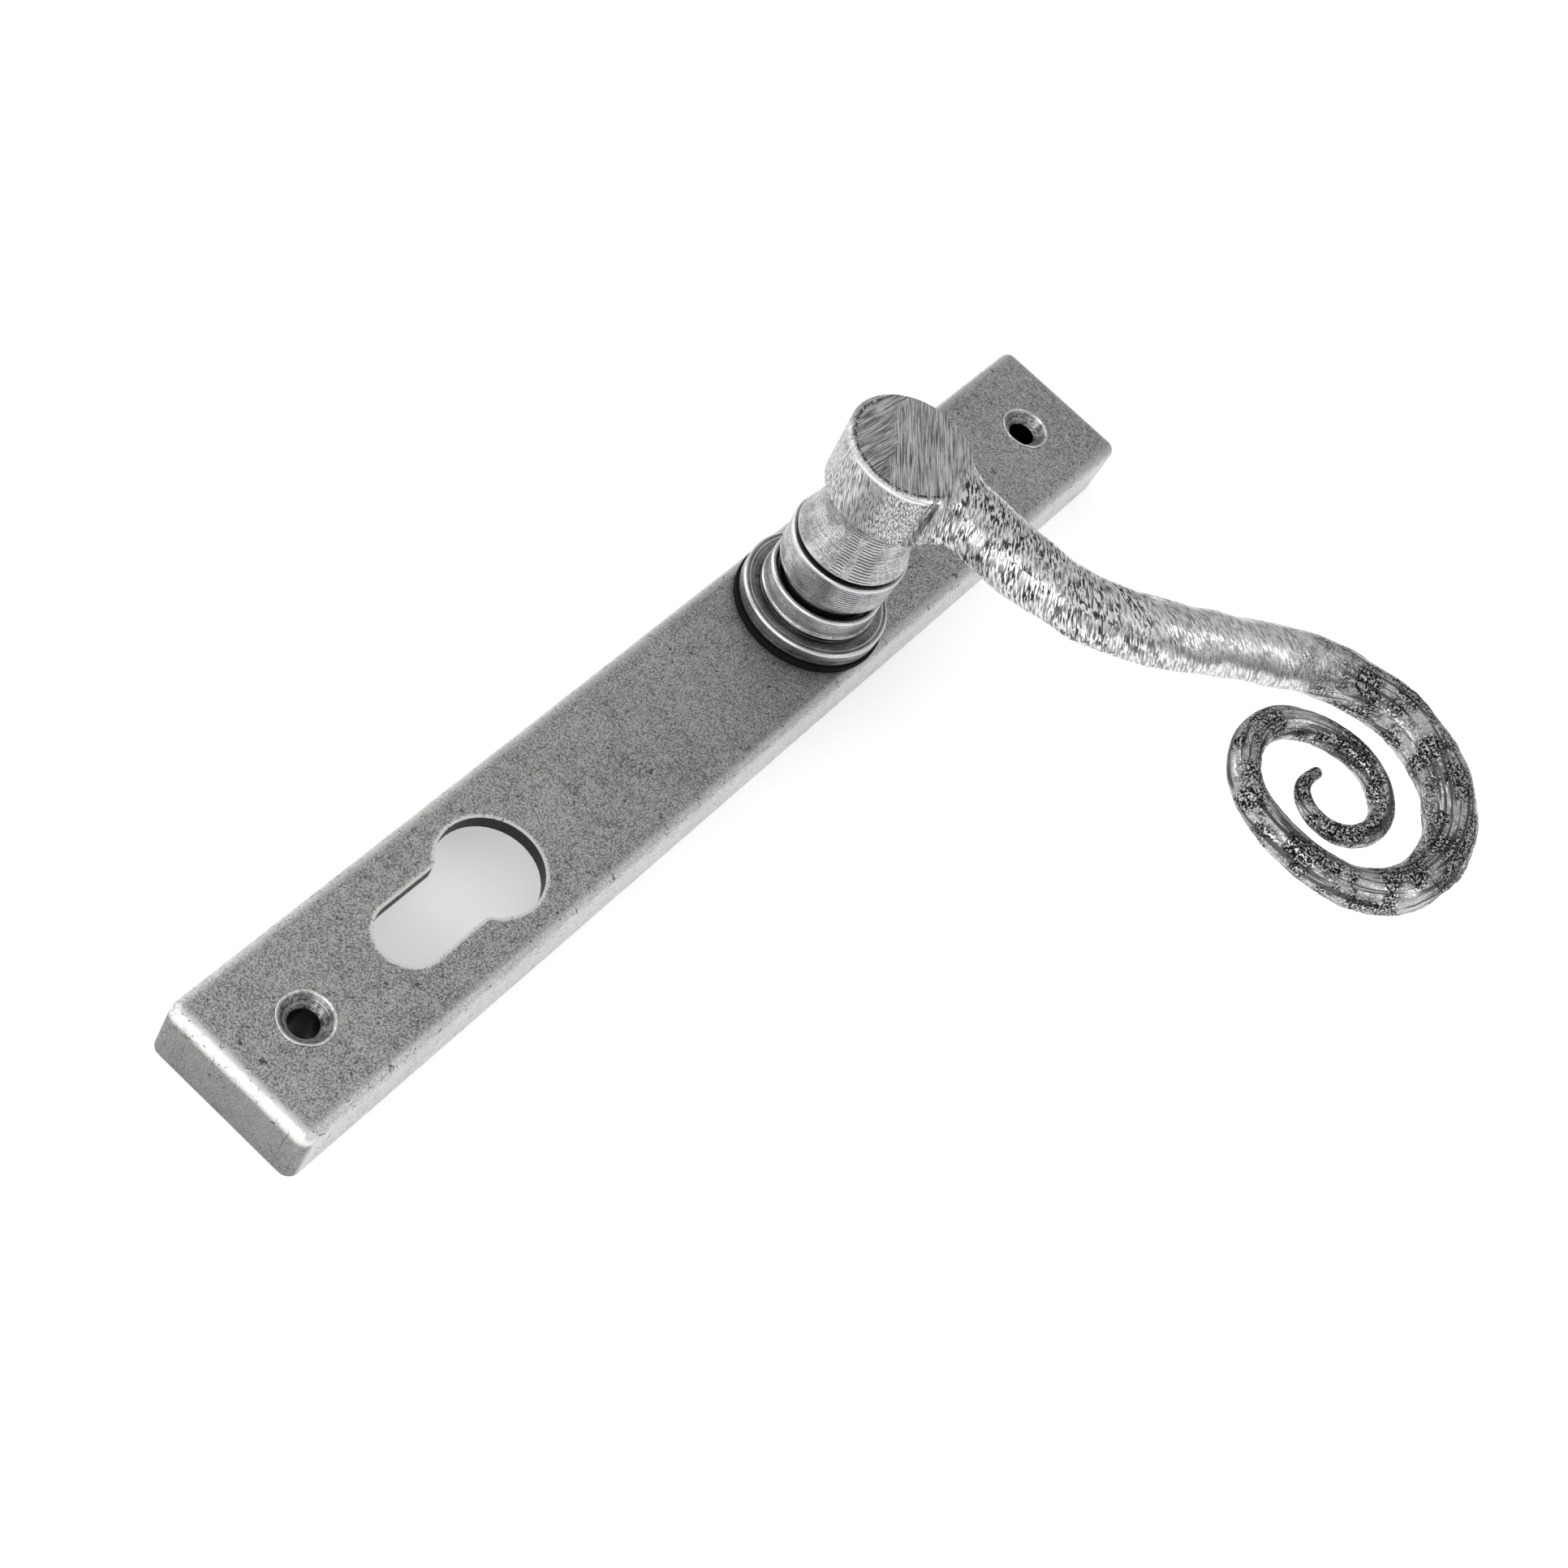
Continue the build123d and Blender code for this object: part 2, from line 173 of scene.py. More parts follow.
# %% Waves and dents
def ripples(s, angle, count, longest, shortest, seed):
    """Sum of cosines of (whole turns x angle + wave number x length + phase), scaled to about one."""
    draw = np.random.default_rng(seed)
    turns = draw.integers(0, 7, count)
    wave = 2 * np.pi / draw.uniform(shortest, longest, count) * draw.choice([-1, 1], count)
    phase = draw.uniform(0, 2 * np.pi, count)
    total = np.zeros(np.broadcast(s, angle).shape)
    for n in range(count):
        total = total + np.cos(turns[n] * angle + wave[n] * s + phase[n])
    return total / math.sqrt(count)


def normals_of(points):
    """Unit normal of a ring grid: the cross product of its two directions, pointing away from the middle."""
    down = np.gradient(points, axis=0)
    across = np.roll(points, -1, axis=1) - np.roll(points, 1, axis=1)
    cross = np.cross(across, down)
    size = np.linalg.norm(cross, axis=-1, keepdims=True)
    cross = cross / np.maximum(size, 1e-9)
    middle = points.mean(axis=1, keepdims=True)
    return cross * np.sign(np.sum(cross * (points - middle)))


def crease(points, start, end, width, depth):
    """A dent along a straight line: depth times a bell curve of the distance to the line."""
    start = np.array(start)
    line = np.array(end) - start
    part = np.clip((points - start) @ line / (line @ line), 0, 1)
    gap = np.linalg.norm(points - start - part[..., None] * line, axis=-1)
    return depth * np.exp(-((gap / width) ** 2))


# %% [markdown]
# Where the bar leaves the disc the smith's tool left a fold: the disc's wall turns in, and the bar bulges
# out of it. A boolean join would give a hard seam, so both are one grid: the half widths follow the disc's
# circle until the bar is wider, which leaves the inner corner, and two dents deepen it.

# %% The forging's surface
START_TURN = 1.95
START_ROWS = 70
FINE_STEP = 0.2
STEP = 0.45
FOLD_END = 27.0
DISC_LIMIT = 30.0
FLAT_COLS = 44
WALL_COLS = 18
NOSE_ROWS = 6
SLAB_SHAPE = 1.35
SWELL = 1.5
STEP_UP = 1.1
RIM_WIDE = 0.7
RIM_DROP = 0.5
LEAN = 0.03
DENTS = 46
FOLDS = [
    ((10.4, -6.1, 61.2), (9.7, -6.6, 49.5), 0.55, 0.9),
    ((10.8, -5.6, 56.5), (12.6, -4.6, 50.0), 0.6, 0.5),
]


def blend(low, high, x):
    """Smooth step from 0 at low to 1 at high."""
    t = np.clip((x - low) / (high - low), 0, 1)
    return t * t * (3 - 2 * t)


def middle_line():
    """Places along the bar, close on the disc, with the line, its direction and its radius there."""
    start = HEAD_R * (1 - np.cos(np.linspace(0, START_TURN, START_ROWS)))
    s = np.r_[start, np.arange(start[-1] + FINE_STEP, FOLD_END, FINE_STEP)]
    s = np.r_[s, np.arange(FOLD_END + FINE_STEP, LENGTH, STEP)]
    line = smooth_line(knots, stations[:, :2], s)
    ahead = smooth_line(knots, stations[:, :2], np.minimum(s + 0.05, LENGTH))
    back = smooth_line(knots, stations[:, :2], np.maximum(s - 0.05, 0))
    forward = (ahead - back) / np.linalg.norm(ahead - back, axis=1, keepdims=True)
    return s, line, forward, smooth_line(knots, stations[:, 2] / 2, s)


def half_sizes(s, line, side, radius):
    """Distances from the line to the surface: far side, near side, above and below.

    On the disc the line sees the circle x^2 + y^2 = HEAD_R^2 at -b + root and b + root, where b is the
    line's own offset along the ring and root is half the chord. Past the disc the bar's radius is longer.
    """
    offset = np.sum(line * side, axis=1)
    square = offset**2 - np.sum(line**2, axis=1) + HEAD_R**2
    half_chord = np.sqrt(np.maximum(square, 0))
    on_disc = (square > 0) & (s < DISC_LIMIT)
    swell = SWELL * (1 - blend(21.5, 29.0, s))
    past = blend(19.0, 19.5, s)
    far = np.maximum((half_chord - offset) * on_disc, radius * past)
    near = np.maximum((half_chord + offset) * on_disc, (radius + swell) * past)
    flat_to_round = 1 - blend(22.0, 32.0, s)
    step_up = blend(20.4, 21.8, s)
    above = radius + (HALF_TALL - radius) * flat_to_round
    below = radius + (HALF_TALL - radius) * (1 - step_up) - STEP_UP * step_up * flat_to_round
    return (size[:, None] for size in (far, near, above, below))


def ring_outline():
    """One ring of unit size, as a slab and as a circle, each point of one facing a point of the other."""
    flat = np.sin(np.linspace(-np.pi / 2, np.pi / 2, FLAT_COLS + 1)[:-1])
    wall = np.sin(np.linspace(-np.pi / 2, np.pi / 2, WALL_COLS + 1)[:-1])
    slab_y = np.r_[flat, np.ones(len(wall)), -flat, -np.ones(len(wall))]
    slab_z = np.r_[np.ones(len(flat)), -wall, -np.ones(len(flat)), wall]
    bend = np.degrees(np.arctan2(1, SLAB_SHAPE))
    turns = [180 - bend, bend, -bend, bend - 180, -180 - bend]
    counts = [len(flat), len(wall), len(flat), len(wall)]
    sides = zip(turns[:-1], turns[1:], counts)
    angle = np.radians(np.concatenate([np.linspace(a, b, n, endpoint=False) for a, b, n in sides]))
    return slab_y, slab_z, angle


def hammered(points, s, angle, radius):
    """How far each point moves out: slow waves, finer ones on the scroll, a fold and small dents."""
    rows, cols, _ = points.shape
    hand = blend(18.0, 40.0, s)[:, None]
    late = blend(95.0, 125.0, s)[:, None]
    thin = np.clip(radius / 5.0, 0.25, 1.2)[:, None]
    at, turn = s[:, None], angle[None, :]
    move = 0.13 * hand * thin * ripples(at, turn, 14, 26.0, 7.0, 3)
    move = move + 0.10 * late * thin * ripples(at, 2 * turn, 10, 60.0, 22.0, 5)
    move = move + 0.05 * late * thin * ripples(at, turn, 16, 5.0, 2.0, 6)
    for start, end, width, depth in FOLDS:
        move = move - crease(points, start, end, width, depth)
    draw = np.random.default_rng(11)
    for n in range(DENTS):
        row = int(draw.uniform(0.22, 0.97) * rows)
        col = int(draw.uniform(0, cols))
        gap = np.linalg.norm(points - points[row, col], axis=-1)
        size = draw.uniform(0.5, 1.5) * thin[row, 0]
        move = move - draw.uniform(0.05, 0.16) * thin[row, 0] * np.exp(-((gap / size) ** 2))
    return move[..., None]


def forging_surface():
    """Each ring is a slab outline, flat above and below, blended into a circle along the line."""
    s, line, forward, radius = middle_line()
    side = np.stack([-forward[:, 1], forward[:, 0]], axis=1)
    far, near, above, below = half_sizes(s, line, side, radius)
    slab_y, slab_z, angle = ring_outline()
    melt = blend(19.5, 27.0, s)[:, None]
    out_y = (1 - melt) * slab_y + melt * np.cos(angle)
    out_y = out_y * np.where(out_y > 0, far, near)
    out_z = (1 - melt) * slab_z + melt * np.sin(angle)
    out_z = out_z * np.where(out_z > 0, above, below)

    points = np.empty((len(s), len(angle), 3))
    points[..., 0] = line[:, 0, None] + side[:, 0, None] * out_y
    points[..., 1] = line[:, 1, None] + side[:, 1, None] * out_y
    # the disc's corners are eased, and its wall draws in a little towards the foot
    rho = np.hypot(points[..., 0], points[..., 1])
    rim = np.clip((rho - (HEAD_R - RIM_WIDE)) / RIM_WIDE, 0, 1.2) ** 1.6 * RIM_DROP
    rim = rim * (1 - blend(19.0, 23.0, s))[:, None]
    limit = np.where(out_z > 0, above, below) - rim
    out_z = np.clip(out_z, -limit, limit)
    lean = 1 + LEAN * (out_z / HALF_TALL - 1) * (1 - blend(14.0, 22.0, s))[:, None]
    points[..., 0] *= lean
    points[..., 1] *= lean
    points[..., 2] = MIDDLE + out_z
    points = points + normals_of(points) * hammered(points, s, angle, radius)

    # a round nose closes the scroll, and the first ring closes to a line
    quarter = np.linspace(0, np.pi / 2, NOSE_ROWS + 1)[1:]
    tip = radius[-1] * np.sin(quarter)
    middle = points[-1].mean(axis=0)
    ahead = np.array([forward[-1, 0], forward[-1, 1], 0.0])
    nose = middle + (points[-1] - middle)[None] * np.cos(quarter)[:, None, None] + tip[:, None, None] * ahead
    points = np.concatenate([points, nose])
    heights = points[0, :, 2]
    points[0] = points[0].mean(axis=0) * [1, 0, 0] + np.stack([0 * heights, 0 * heights, heights], axis=1)
    along = np.r_[s, s[-1] + tip]
    turn_mm = np.linspace(0, 2 * np.pi, len(angle) + 1)
    around = turn_mm[None, :] * np.r_[np.maximum(radius, 1.0), np.full(len(tip), radius[-1])][:, None]
    return points, along, around


points, along, around = forging_surface()
forging = grid_piece("lever_forging", points, along, around)
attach(forging, "handle")
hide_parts("lever")

# %% [markdown]
# Necks, bands, collars and screw sockets come off a lathe. A turned piece is a profile of radius and
# height carried once round the axis, with its corners rounded as wear leaves them.

# %% Turned pieces
def rounded(profile, size, steps=5):
    """Replaces each corner by a small arc: a quadratic curve from size before it to size after it."""
    profile = np.array(profile, float)
    out = [profile[:1]]
    t = np.linspace(0, 1, steps)[:, None]
    for before, here, after in zip(profile[:-2], profile[1:-1], profile[2:]):
        reach_in = min(size, np.linalg.norm(here - before) * 0.45)
        reach_out = min(size, np.linalg.norm(after - here) * 0.45)
        a = here + (before - here) / np.linalg.norm(before - here) * reach_in
        b = here + (after - here) / np.linalg.norm(after - here) * reach_out
        out.append((1 - t) ** 2 * a + 2 * t * (1 - t) * here + t**2 * b)
    out.append(profile[-1:])
    return np.vstack(out)


def filled(profile, step=0.5):
    """Adds points so that no two neighbours are further apart than step."""
    gap = np.hypot(*np.diff(profile, axis=0).T)
    counts = np.maximum(1, np.ceil(gap / step).astype(int))
    pieces = [a + (b - a) * np.arange(n)[:, None] / n for a, b, n in zip(profile[:-1], profile[1:], counts)]
    return np.vstack(pieces + [profile[-1:]])


def lathe(name, profile, size=0.3, y=0.0, wobble=0.0, cols=144, seed=1):
    """A closed profile of (radius, height) carried round the axis; wobble adds a slow wave to the radius."""
    profile = np.array(profile, float)
    start = (profile[0] + profile[1]) / 2
    profile = np.vstack([start, profile[1:], profile[0], start])
    line = filled(rounded(profile, size))
    angle = np.linspace(0, 2 * np.pi, cols, endpoint=False)
    length = np.r_[0, np.cumsum(np.hypot(*np.diff(line, axis=0).T))]
    wave = wobble * ripples(length[:, None] * 0, angle[None, :], 6, 9.0, 3.0, seed)
    radius = np.maximum(line[:, :1] + wave * (line[:, :1] > 1), 0)
    height = line[:, 1:] + 0 * radius
    points = np.stack([radius * np.cos(angle), y + radius * np.sin(angle), height], axis=-1)
    edge = np.linspace(0, 2 * np.pi, cols + 1)[None, :] * np.maximum(line[:, :1], 1)
    return grid_piece(name, points, length, edge)


def corners(node):
    """Lowest and highest corner of a frame piece, in mm."""
    low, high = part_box(node)
    return np.array(low) / MM, np.array(high) / MM


# %% [markdown]
# The bearing collar is turned from bar and holds the nylon bush. From below it has a rolled edge that
# grips the bracket, a spigot through the plate, a flange, a dark groove and a raised ring. The lathe
# gives all of it in one profile, and its outer sizes come from the frame.

# %% Bearing collar
COLLAR_BORE = 8.62
ROLLED_R = 11.98
ROLLED_LOW = 8.2
ROLLED_TOP = 8.8
SPIGOT_R = 10.98
WASHER_THICK = 1.5
FLANGE_TOP = 17.9
GROOVE_R = 11.0
BEAD_R = 11.5
RING_R = 11.15
MOUTH = 1.2
low, high = corners("bearing_collar")
FLANGE = high[0]
RING_TOP = high[2]
PLATE_TOP = corners("backplate")[1][2]
collar = lathe("turned_collar", [
    (COLLAR_BORE, ROLLED_LOW),
    (ROLLED_R, ROLLED_LOW),
    (ROLLED_R, ROLLED_TOP),
    (SPIGOT_R, ROLLED_TOP),
    (SPIGOT_R, PLATE_TOP + WASHER_THICK),
    (FLANGE, PLATE_TOP + WASHER_THICK),
    (FLANGE, FLANGE_TOP),
    (GROOVE_R + 0.25, 17.75),
    (GROOVE_R, 18.05),
    (BEAD_R, 18.9),
    (BEAD_R, 19.2),
    (RING_R, 19.3),
    (RING_R, RING_TOP),
    (10.2, RING_TOP),
    (10.0, RING_TOP - MOUTH),
    (COLLAR_BORE, RING_TOP - MOUTH),
], size=0.55, wobble=0.02)
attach(collar, "plate")
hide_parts("bearing_collar")

# %% [markdown]
# A thin black washer keeps the collar off the plate's finish. A flat ring with eased corners is enough: it
# shows as a black line under the flange.

# %% Washer
WASHER_BORE = 11.0
WASHER_R = 14.8
washer = lathe("black_washer", [
    (WASHER_BORE, PLATE_TOP),
    (WASHER_R, PLATE_TOP),
    (WASHER_R, PLATE_TOP + WASHER_THICK),
    (WASHER_BORE, PLATE_TOP + WASHER_THICK),
], size=0.25)
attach(washer, "plate")
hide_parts("plate_washer")

# %% [markdown]
# The band is a turned sleeve on the lever's neck, a little wider at its top. It turns with the lever, so a
# narrow gap stays between it and the collar.

# %% Neck band
BAND_BORE = 9.32
BAND_FOOT_R = 11.15
BAND_TOP_R = 11.45
band_low, band_high = corners("neck_band")
band = lathe("turned_band", [
    (BAND_BORE, band_low[2]),
    (BAND_FOOT_R, band_low[2]),
    (BAND_TOP_R, band_high[2]),
    (BAND_BORE, band_high[2]),
], size=0.45, wobble=0.03, seed=4)
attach(band, "handle")
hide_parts("neck_band")

# %% [markdown]
# Each fixing screw sits in a turned socket: a fine raised rim, a polished cone with tool rings, and a
# clear hole. The rings are cut into the profile itself, so they catch the light as real ones do.

# %% Screw sockets
HOLE_R = 2.7
CONE_R = 4.65
CONE_DEEP = 1.95
RIM_IN_R = 4.7
RIM_OUT_R = 5.08
PILLAR_TOP = 10.0
TOOL_RING_DEEP = 0.035
TOOL_RINGS = 9


def socket(name, node):
    """Pillar profile from the back plane, over the rim and down the ringed cone."""
    low, high = corners(node)
    top = high[2]
    middle = (low[1] + high[1]) / 2
    depth = np.linspace(0, 1, 60)
    cone_r = CONE_R + (HOLE_R - CONE_R) * depth
    cone_z = top - 0.1 - CONE_DEEP * depth + TOOL_RING_DEEP * np.sin(depth * 2 * np.pi * TOOL_RINGS)
    pillar = [(HOLE_R, low[2]), (high[0], low[2]), (high[0], PILLAR_TOP)]
    rim = [(RIM_OUT_R, PILLAR_TOP), (RIM_OUT_R, top), (RIM_IN_R, top)]
    profile = np.vstack([pillar, rim, np.stack([cone_r, cone_z], axis=1)])
    piece = lathe(name, profile, size=0.18, y=middle, cols=96)
    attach(piece, "plate")
    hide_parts(node)
    return piece


upper_socket = socket("upper_screw_socket", "upper_screw_pillar")
lower_socket = socket("lower_screw_socket", "lower_screw_pillar")

# %% [markdown]
# Below the disc the forging runs down as a turned neck, then a plain shank with the square socket for the
# spindle. One grid does it all: its rings are circles outside and squares inside.

# %% Neck and shank
NECK_COLS = 160
SQUARE_HALF = 4.0
SQUARE_TOP = 32.0
SHANK_FOOT = 0.5
FACET_DEEP = 0.10
NECK = [
    (6.9, 0.5),
    (6.9, 8.1),
    (7.5, 8.1),
    (7.5, 23.6),
    (9.3, 23.6),
    (9.3, 34.1),
    (9.9, 34.1),
    (9.9, 34.85),
    (11.05, 35.05),
    (10.8, 36.0),
    (10.1, 38.0),
    (9.55, 40.2),
    (9.1, 42.2),
    (8.75, 44.2),
    (8.6, 46.2),
    (8.7, 47.4),
    (9.2, 48.4),
    (9.2, 50.0),
    (0.0, 50.0),
]


def neck_surface():
    """Rings from the top of the square socket, down it, round the foot and up into the disc.

    A square ring's radius is its half side over the larger of |cos| and |sin| of the angle.
    """
    angle = np.linspace(0, 2 * np.pi, NECK_COLS, endpoint=False) + np.pi / 4
    square = 1 / np.maximum(np.abs(np.cos(angle)), np.abs(np.sin(angle)))
    inner_z = np.r_[SQUARE_TOP, SQUARE_TOP, np.linspace(SQUARE_TOP, SHANK_FOOT, 12)]
    inner_r = np.r_[0.0, SQUARE_HALF / 2, np.full(12, SQUARE_HALF)]
    inner = np.stack([inner_r[:, None] * square, inner_z[:, None] + 0 * square], axis=-1)
    line = filled(rounded(NECK, 0.5), 0.4)
    outer = np.stack([line[:, :1] + 0 * square, line[:, 1:] + 0 * square], axis=-1)
    rings = np.concatenate([inner, outer])
    z = rings[..., 1]
    on_neck = blend(34.8, 36.5, z) * (1 - blend(46.0, 48.0, z))
    facets = FACET_DEEP * np.cos(9 * angle + 0.6) + FACET_DEEP / 2 * np.cos(17 * angle + 1.0)
    radius = rings[..., 0] + on_neck * facets
    points = np.stack([radius * np.cos(angle), radius * np.sin(angle), z], axis=-1)
    along = np.r_[0, np.cumsum(np.hypot(*np.diff(rings[:, 0], axis=0).T))]
    edge = np.linspace(0, 2 * np.pi, NECK_COLS + 1)[None, :] * np.maximum(rings[:, :1, 0], 1)
    return points, along, edge


points, along, around = neck_surface()
neck = grid_piece("lever_neck", points, along, around)
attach(neck, "handle")
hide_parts("lever")

# %% [markdown]
# The finish is steel with a pewter patina: the whole piece is darkened, then rubbed back, so it stays dark
# in hollows and pits and comes up bright on ridges. Image textures would be quicker, but a pattern
# worked out by nodes stays sharp at any size and repeats nowhere. Every pattern is sized in millimetres.
# File strokes, speckle and hatching are drawn a little coarser than the real ones, which a view of the
# whole object would lose.

# %% Colour and node helpers
MAIN_SETTING = {"Math": "operation", "VectorMath": "operation",
                "MapRange": "interpolation_type", "VectorRotate": "rotation_type"}


def colour(code):
    """An sRGB hex code as a linear colour."""
    value = np.array([int(code[n:n + 2], 16) for n in (1, 3, 5)]) / 255
    value = np.where(value <= 0.04045, value / 12.92, ((value + 0.055) / 1.055) ** 2.4)
    return (*value.tolist(), 1.0)


def add(tree, kind, *inputs, out=0, **settings):
    """Adds a node, fills or joins its inputs in order (None skips one) and gives back one output.

    A word after the dot is the node's main setting. Other settings name a property or an input.
    """
    kind, _, choice = kind.partition(".")
    node = tree.nodes.new("ShaderNode" + kind)
    if choice:
        setattr(node, MAIN_SETTING[kind], choice)
    filled_in = list(zip(node.inputs, inputs))
    for key, value in settings.items():
        if key in node.inputs:
            filled_in.append((node.inputs[key], value))
        else:
            setattr(node, key, value)
    for place, value in filled_in:
        if isinstance(value, bpy.types.NodeSocket):
            tree.links.new(value, place)
        elif value is not None:
            place.default_value = value
    return node.outputs[out]


class Finish:
    """One material: its node tree, the place in mm, and the patterns its look is made from."""

    def __init__(self, name):
        self.material = bpy.data.materials.new(name)
        self.material.use_nodes = True
        self.tree = self.material.node_tree
        self.shader = self.tree.nodes["Principled BSDF"]
        self.node = functools.partial(add, self.tree)
        self.spot = self.node("VectorMath.MULTIPLY", self.node("TexCoord", out=3), (1000, 1000, 1000))
        self.x, self.y, self.z = self.node("SeparateXYZ", self.spot).node.outputs

    def from_axis(self):
        """Distance from the spindle's axis in mm."""
        return self.node("VectorMath.LENGTH", self.node("CombineXYZ", self.x, self.y, 0.0), out=1)

    def marks(self, where, size, low=0.0, high=1.0, detail=2.0, rough=0.5, distort=0.0):
        """Grain about size mm across in each direction, hardened between two levels."""
        scaled = self.node("VectorMath.MULTIPLY", where, tuple(1 / v for v in size))
        grain = self.node("TexNoise", scaled, Scale=1.0, Detail=detail, Roughness=rough, Distortion=distort)
        if (low, high) == (0.0, 1.0):
            return grain
        return self.node("MapRange.SMOOTHSTEP", grain, low, high)

    def total(self, *shares):
        """Sum of (share, value) pairs."""
        result = 0.0
        for share, value in shares:
            result = self.node("Math.MULTIPLY_ADD", value, share, result)
        return result

    def done(self, base, rough, height=None, depth=0.05, metallic=1.0):
        """Joins colour, roughness and a relief of depth mm to the shader."""
        self.tree.links.new(base, self.shader.inputs["Base Color"])
        self.tree.links.new(rough, self.shader.inputs["Roughness"])
        self.shader.inputs["Metallic"].default_value = metallic
        if height is not None:
            normal = self.node("Bump", Height=height, Distance=depth * MM, Strength=1.0)
            self.tree.links.new(normal, self.shader.inputs["Normal"])
        return self.material


# %% [markdown]
# Hand-forged steel, filed and patinated. On the disc the eye sees fine parallel file strokes, on the grip
# short slanting dark flecks left between hammer blows, and on the scroll black pits and long seams. The
# map's first coordinate is the distance along the bar in mm, so each kind starts and stops where it should.
# The bright rim on the disc's near side is partly wear and partly a painted highlight, and the black in the
# fold beside the disc is painted shade.

# %% Forged steel
STROKE_MM = 0.17
STROKE_TURNS = (53, 94)
FLECK_MM = (0.36, 2.0, 1.0)
FLECK_TURN = -28
PIT_MM = (0.42, 0.42, 0.42)
SEAM_MM = (16.0, 0.8, 1.0)
RIDGE_IN_R = HEAD_R - 0.95
DASH_R = HEAD_R - 1.15
DASH_HALF = 0.27
FOLD_AT = (10.4, -6.2, 0.0)


def filed_disc(f, s, cloud):
    """File strokes in two directions on top and short ones down the wall; a near rim, worn and painted
    brighter as a highlight, with dashes.
    """
    n = f.node
    on_top = n("MapRange.SMOOTHSTEP", f.z, HEAD_TOP - 1.2, HEAD_TOP - 0.7)
    turn_a, turn_b = (n("VectorRotate.Z_AXIS", f.spot, Angle=math.radians(t)) for t in STROKE_TURNS)
    strokes_a = f.marks(turn_a, (6.0, STROKE_MM, 6.0), 0.43, 0.58, 2.0, 0.6)
    strokes_b = f.marks(turn_b, (5.0, STROKE_MM, 5.0), 0.43, 0.58, 2.0, 0.6)
    left = n("MapRange.SMOOTHSTEP", f.total((-1.0, f.x), (-0.5, f.y), (9.0, cloud)), 8.0, 9.5)
    top = n("MapRange.LINEAR", left, 0.0, 1.0, strokes_a, strokes_b)
    slanted = n("VectorRotate.Y_AXIS", f.spot, Angle=0.35)
    wall = f.marks(slanted, (STROKE_MM, STROKE_MM, 2.6), 0.46, 0.58)
    filed = n("MapRange.LINEAR", on_top, 0.0, 1.0, wall, top)
    filed = n("Math.MULTIPLY", filed, n("MapRange.SMOOTHSTEP", cloud, 0.2, 0.8, 0.65, 1.0))

    near = n("MapRange.SMOOTHSTEP", f.total((1.0, f.y), (0.4, f.x)), 2.0, -2.0)
    near = n("Math.MULTIPLY", near, n("MapRange.SMOOTHSTEP", s, 22.5, 21.0))
    near = n("Math.MULTIPLY", near, on_top)
    radius = f.from_axis()
    rough_r = f.total((1.0, radius), (-0.5, f.marks(f.spot, (0.4, 0.4, 0.4), 0.40, 0.62)))
    # the rim, painted bright only on the near side and more so towards +x: partly wear, partly a painted
    # highlight
    worn_rim_and_highlight = n("MapRange.SMOOTHSTEP", rough_r, RIDGE_IN_R, RIDGE_IN_R + 0.3)
    worn_rim_and_highlight = n("Math.MULTIPLY", worn_rim_and_highlight, n("MapRange.LINEAR", f.x, -12.0, 8.0, 0.15, 0.95))
    worn_rim_and_highlight = n("Math.MULTIPLY", worn_rim_and_highlight, near)
    track = n("Math.COMPARE", radius, DASH_R, DASH_HALF)
    dashes = n("Math.MULTIPLY", track, f.marks(f.spot, (0.6, 0.6, 0.6), 0.46, 0.52))
    filed = n("Math.MULTIPLY", filed, n("Math.SUBTRACT", 1.0, worn_rim_and_highlight))
    return filed, worn_rim_and_highlight, n("Math.MULTIPLY", dashes, near)


def flecked_grip(f, uv, s, cloud):
    """Slanting flecks, crowded beside the disc and calmer further out."""
    n = f.node
    slant = n("VectorRotate.Z_AXIS", uv, Angle=math.radians(FLECK_TURN))
    flecks = f.marks(slant, FLECK_MM, 0.45, 0.55, 2.0, 0.6, 0.3)
    crowd = n("MapRange.SMOOTHSTEP", f.marks(uv, (3.0, 4.0, 1.0)), 0.3, 0.6, 0.5, 1.0)
    calm = n("MapRange.SMOOTHSTEP", n("Math.MULTIPLY_ADD", cloud, 14.0, s), 62.0, 84.0, 1.0, 0.6)
    return n("Math.MULTIPLY", n("Math.MULTIPLY", flecks, crowd), calm)


def pitted_scroll(f, uv):
    """Black pits in patches, and long seams."""
    n = f.node
    pits = f.marks(f.spot, PIT_MM, 0.43, 0.52, 3.0, 0.6)
    seams = f.marks(uv, SEAM_MM, 0.51, 0.57, 3.0, 0.6, 0.4)
    patch = n("MapRange.SMOOTHSTEP", f.marks(f.spot, (5.0, 5.0, 5.0)), 0.34, 0.56, 0.3, 1.0)
    return n("Math.MAXIMUM", n("Math.MULTIPLY", pits, patch), n("Math.MULTIPLY", seams, 0.85))


def painted_fold_shade(f, cloud):
    """Painted shade in the fold beside the disc, darkest near its top."""
    n = f.node
    away = n("VectorMath.SUBTRACT", n("CombineXYZ", f.x, f.y, 0.0), FOLD_AT)
    away = f.total((1.0, n("VectorMath.LENGTH", away, out=1)), (1.6, cloud))
    fold = n("MapRange.SMOOTHSTEP", away, 1.75, 1.25)
    fold = n("Math.MULTIPLY", fold, n("MapRange.SMOOTHSTEP", f.z, HEAD_TOP - 0.6, HEAD_TOP - 1.4))
    return n("Math.MULTIPLY", fold, n("MapRange.LINEAR", f.z, HEAD_LOW + 3.0, HEAD_TOP - 3.0, 0.45, 1.0))


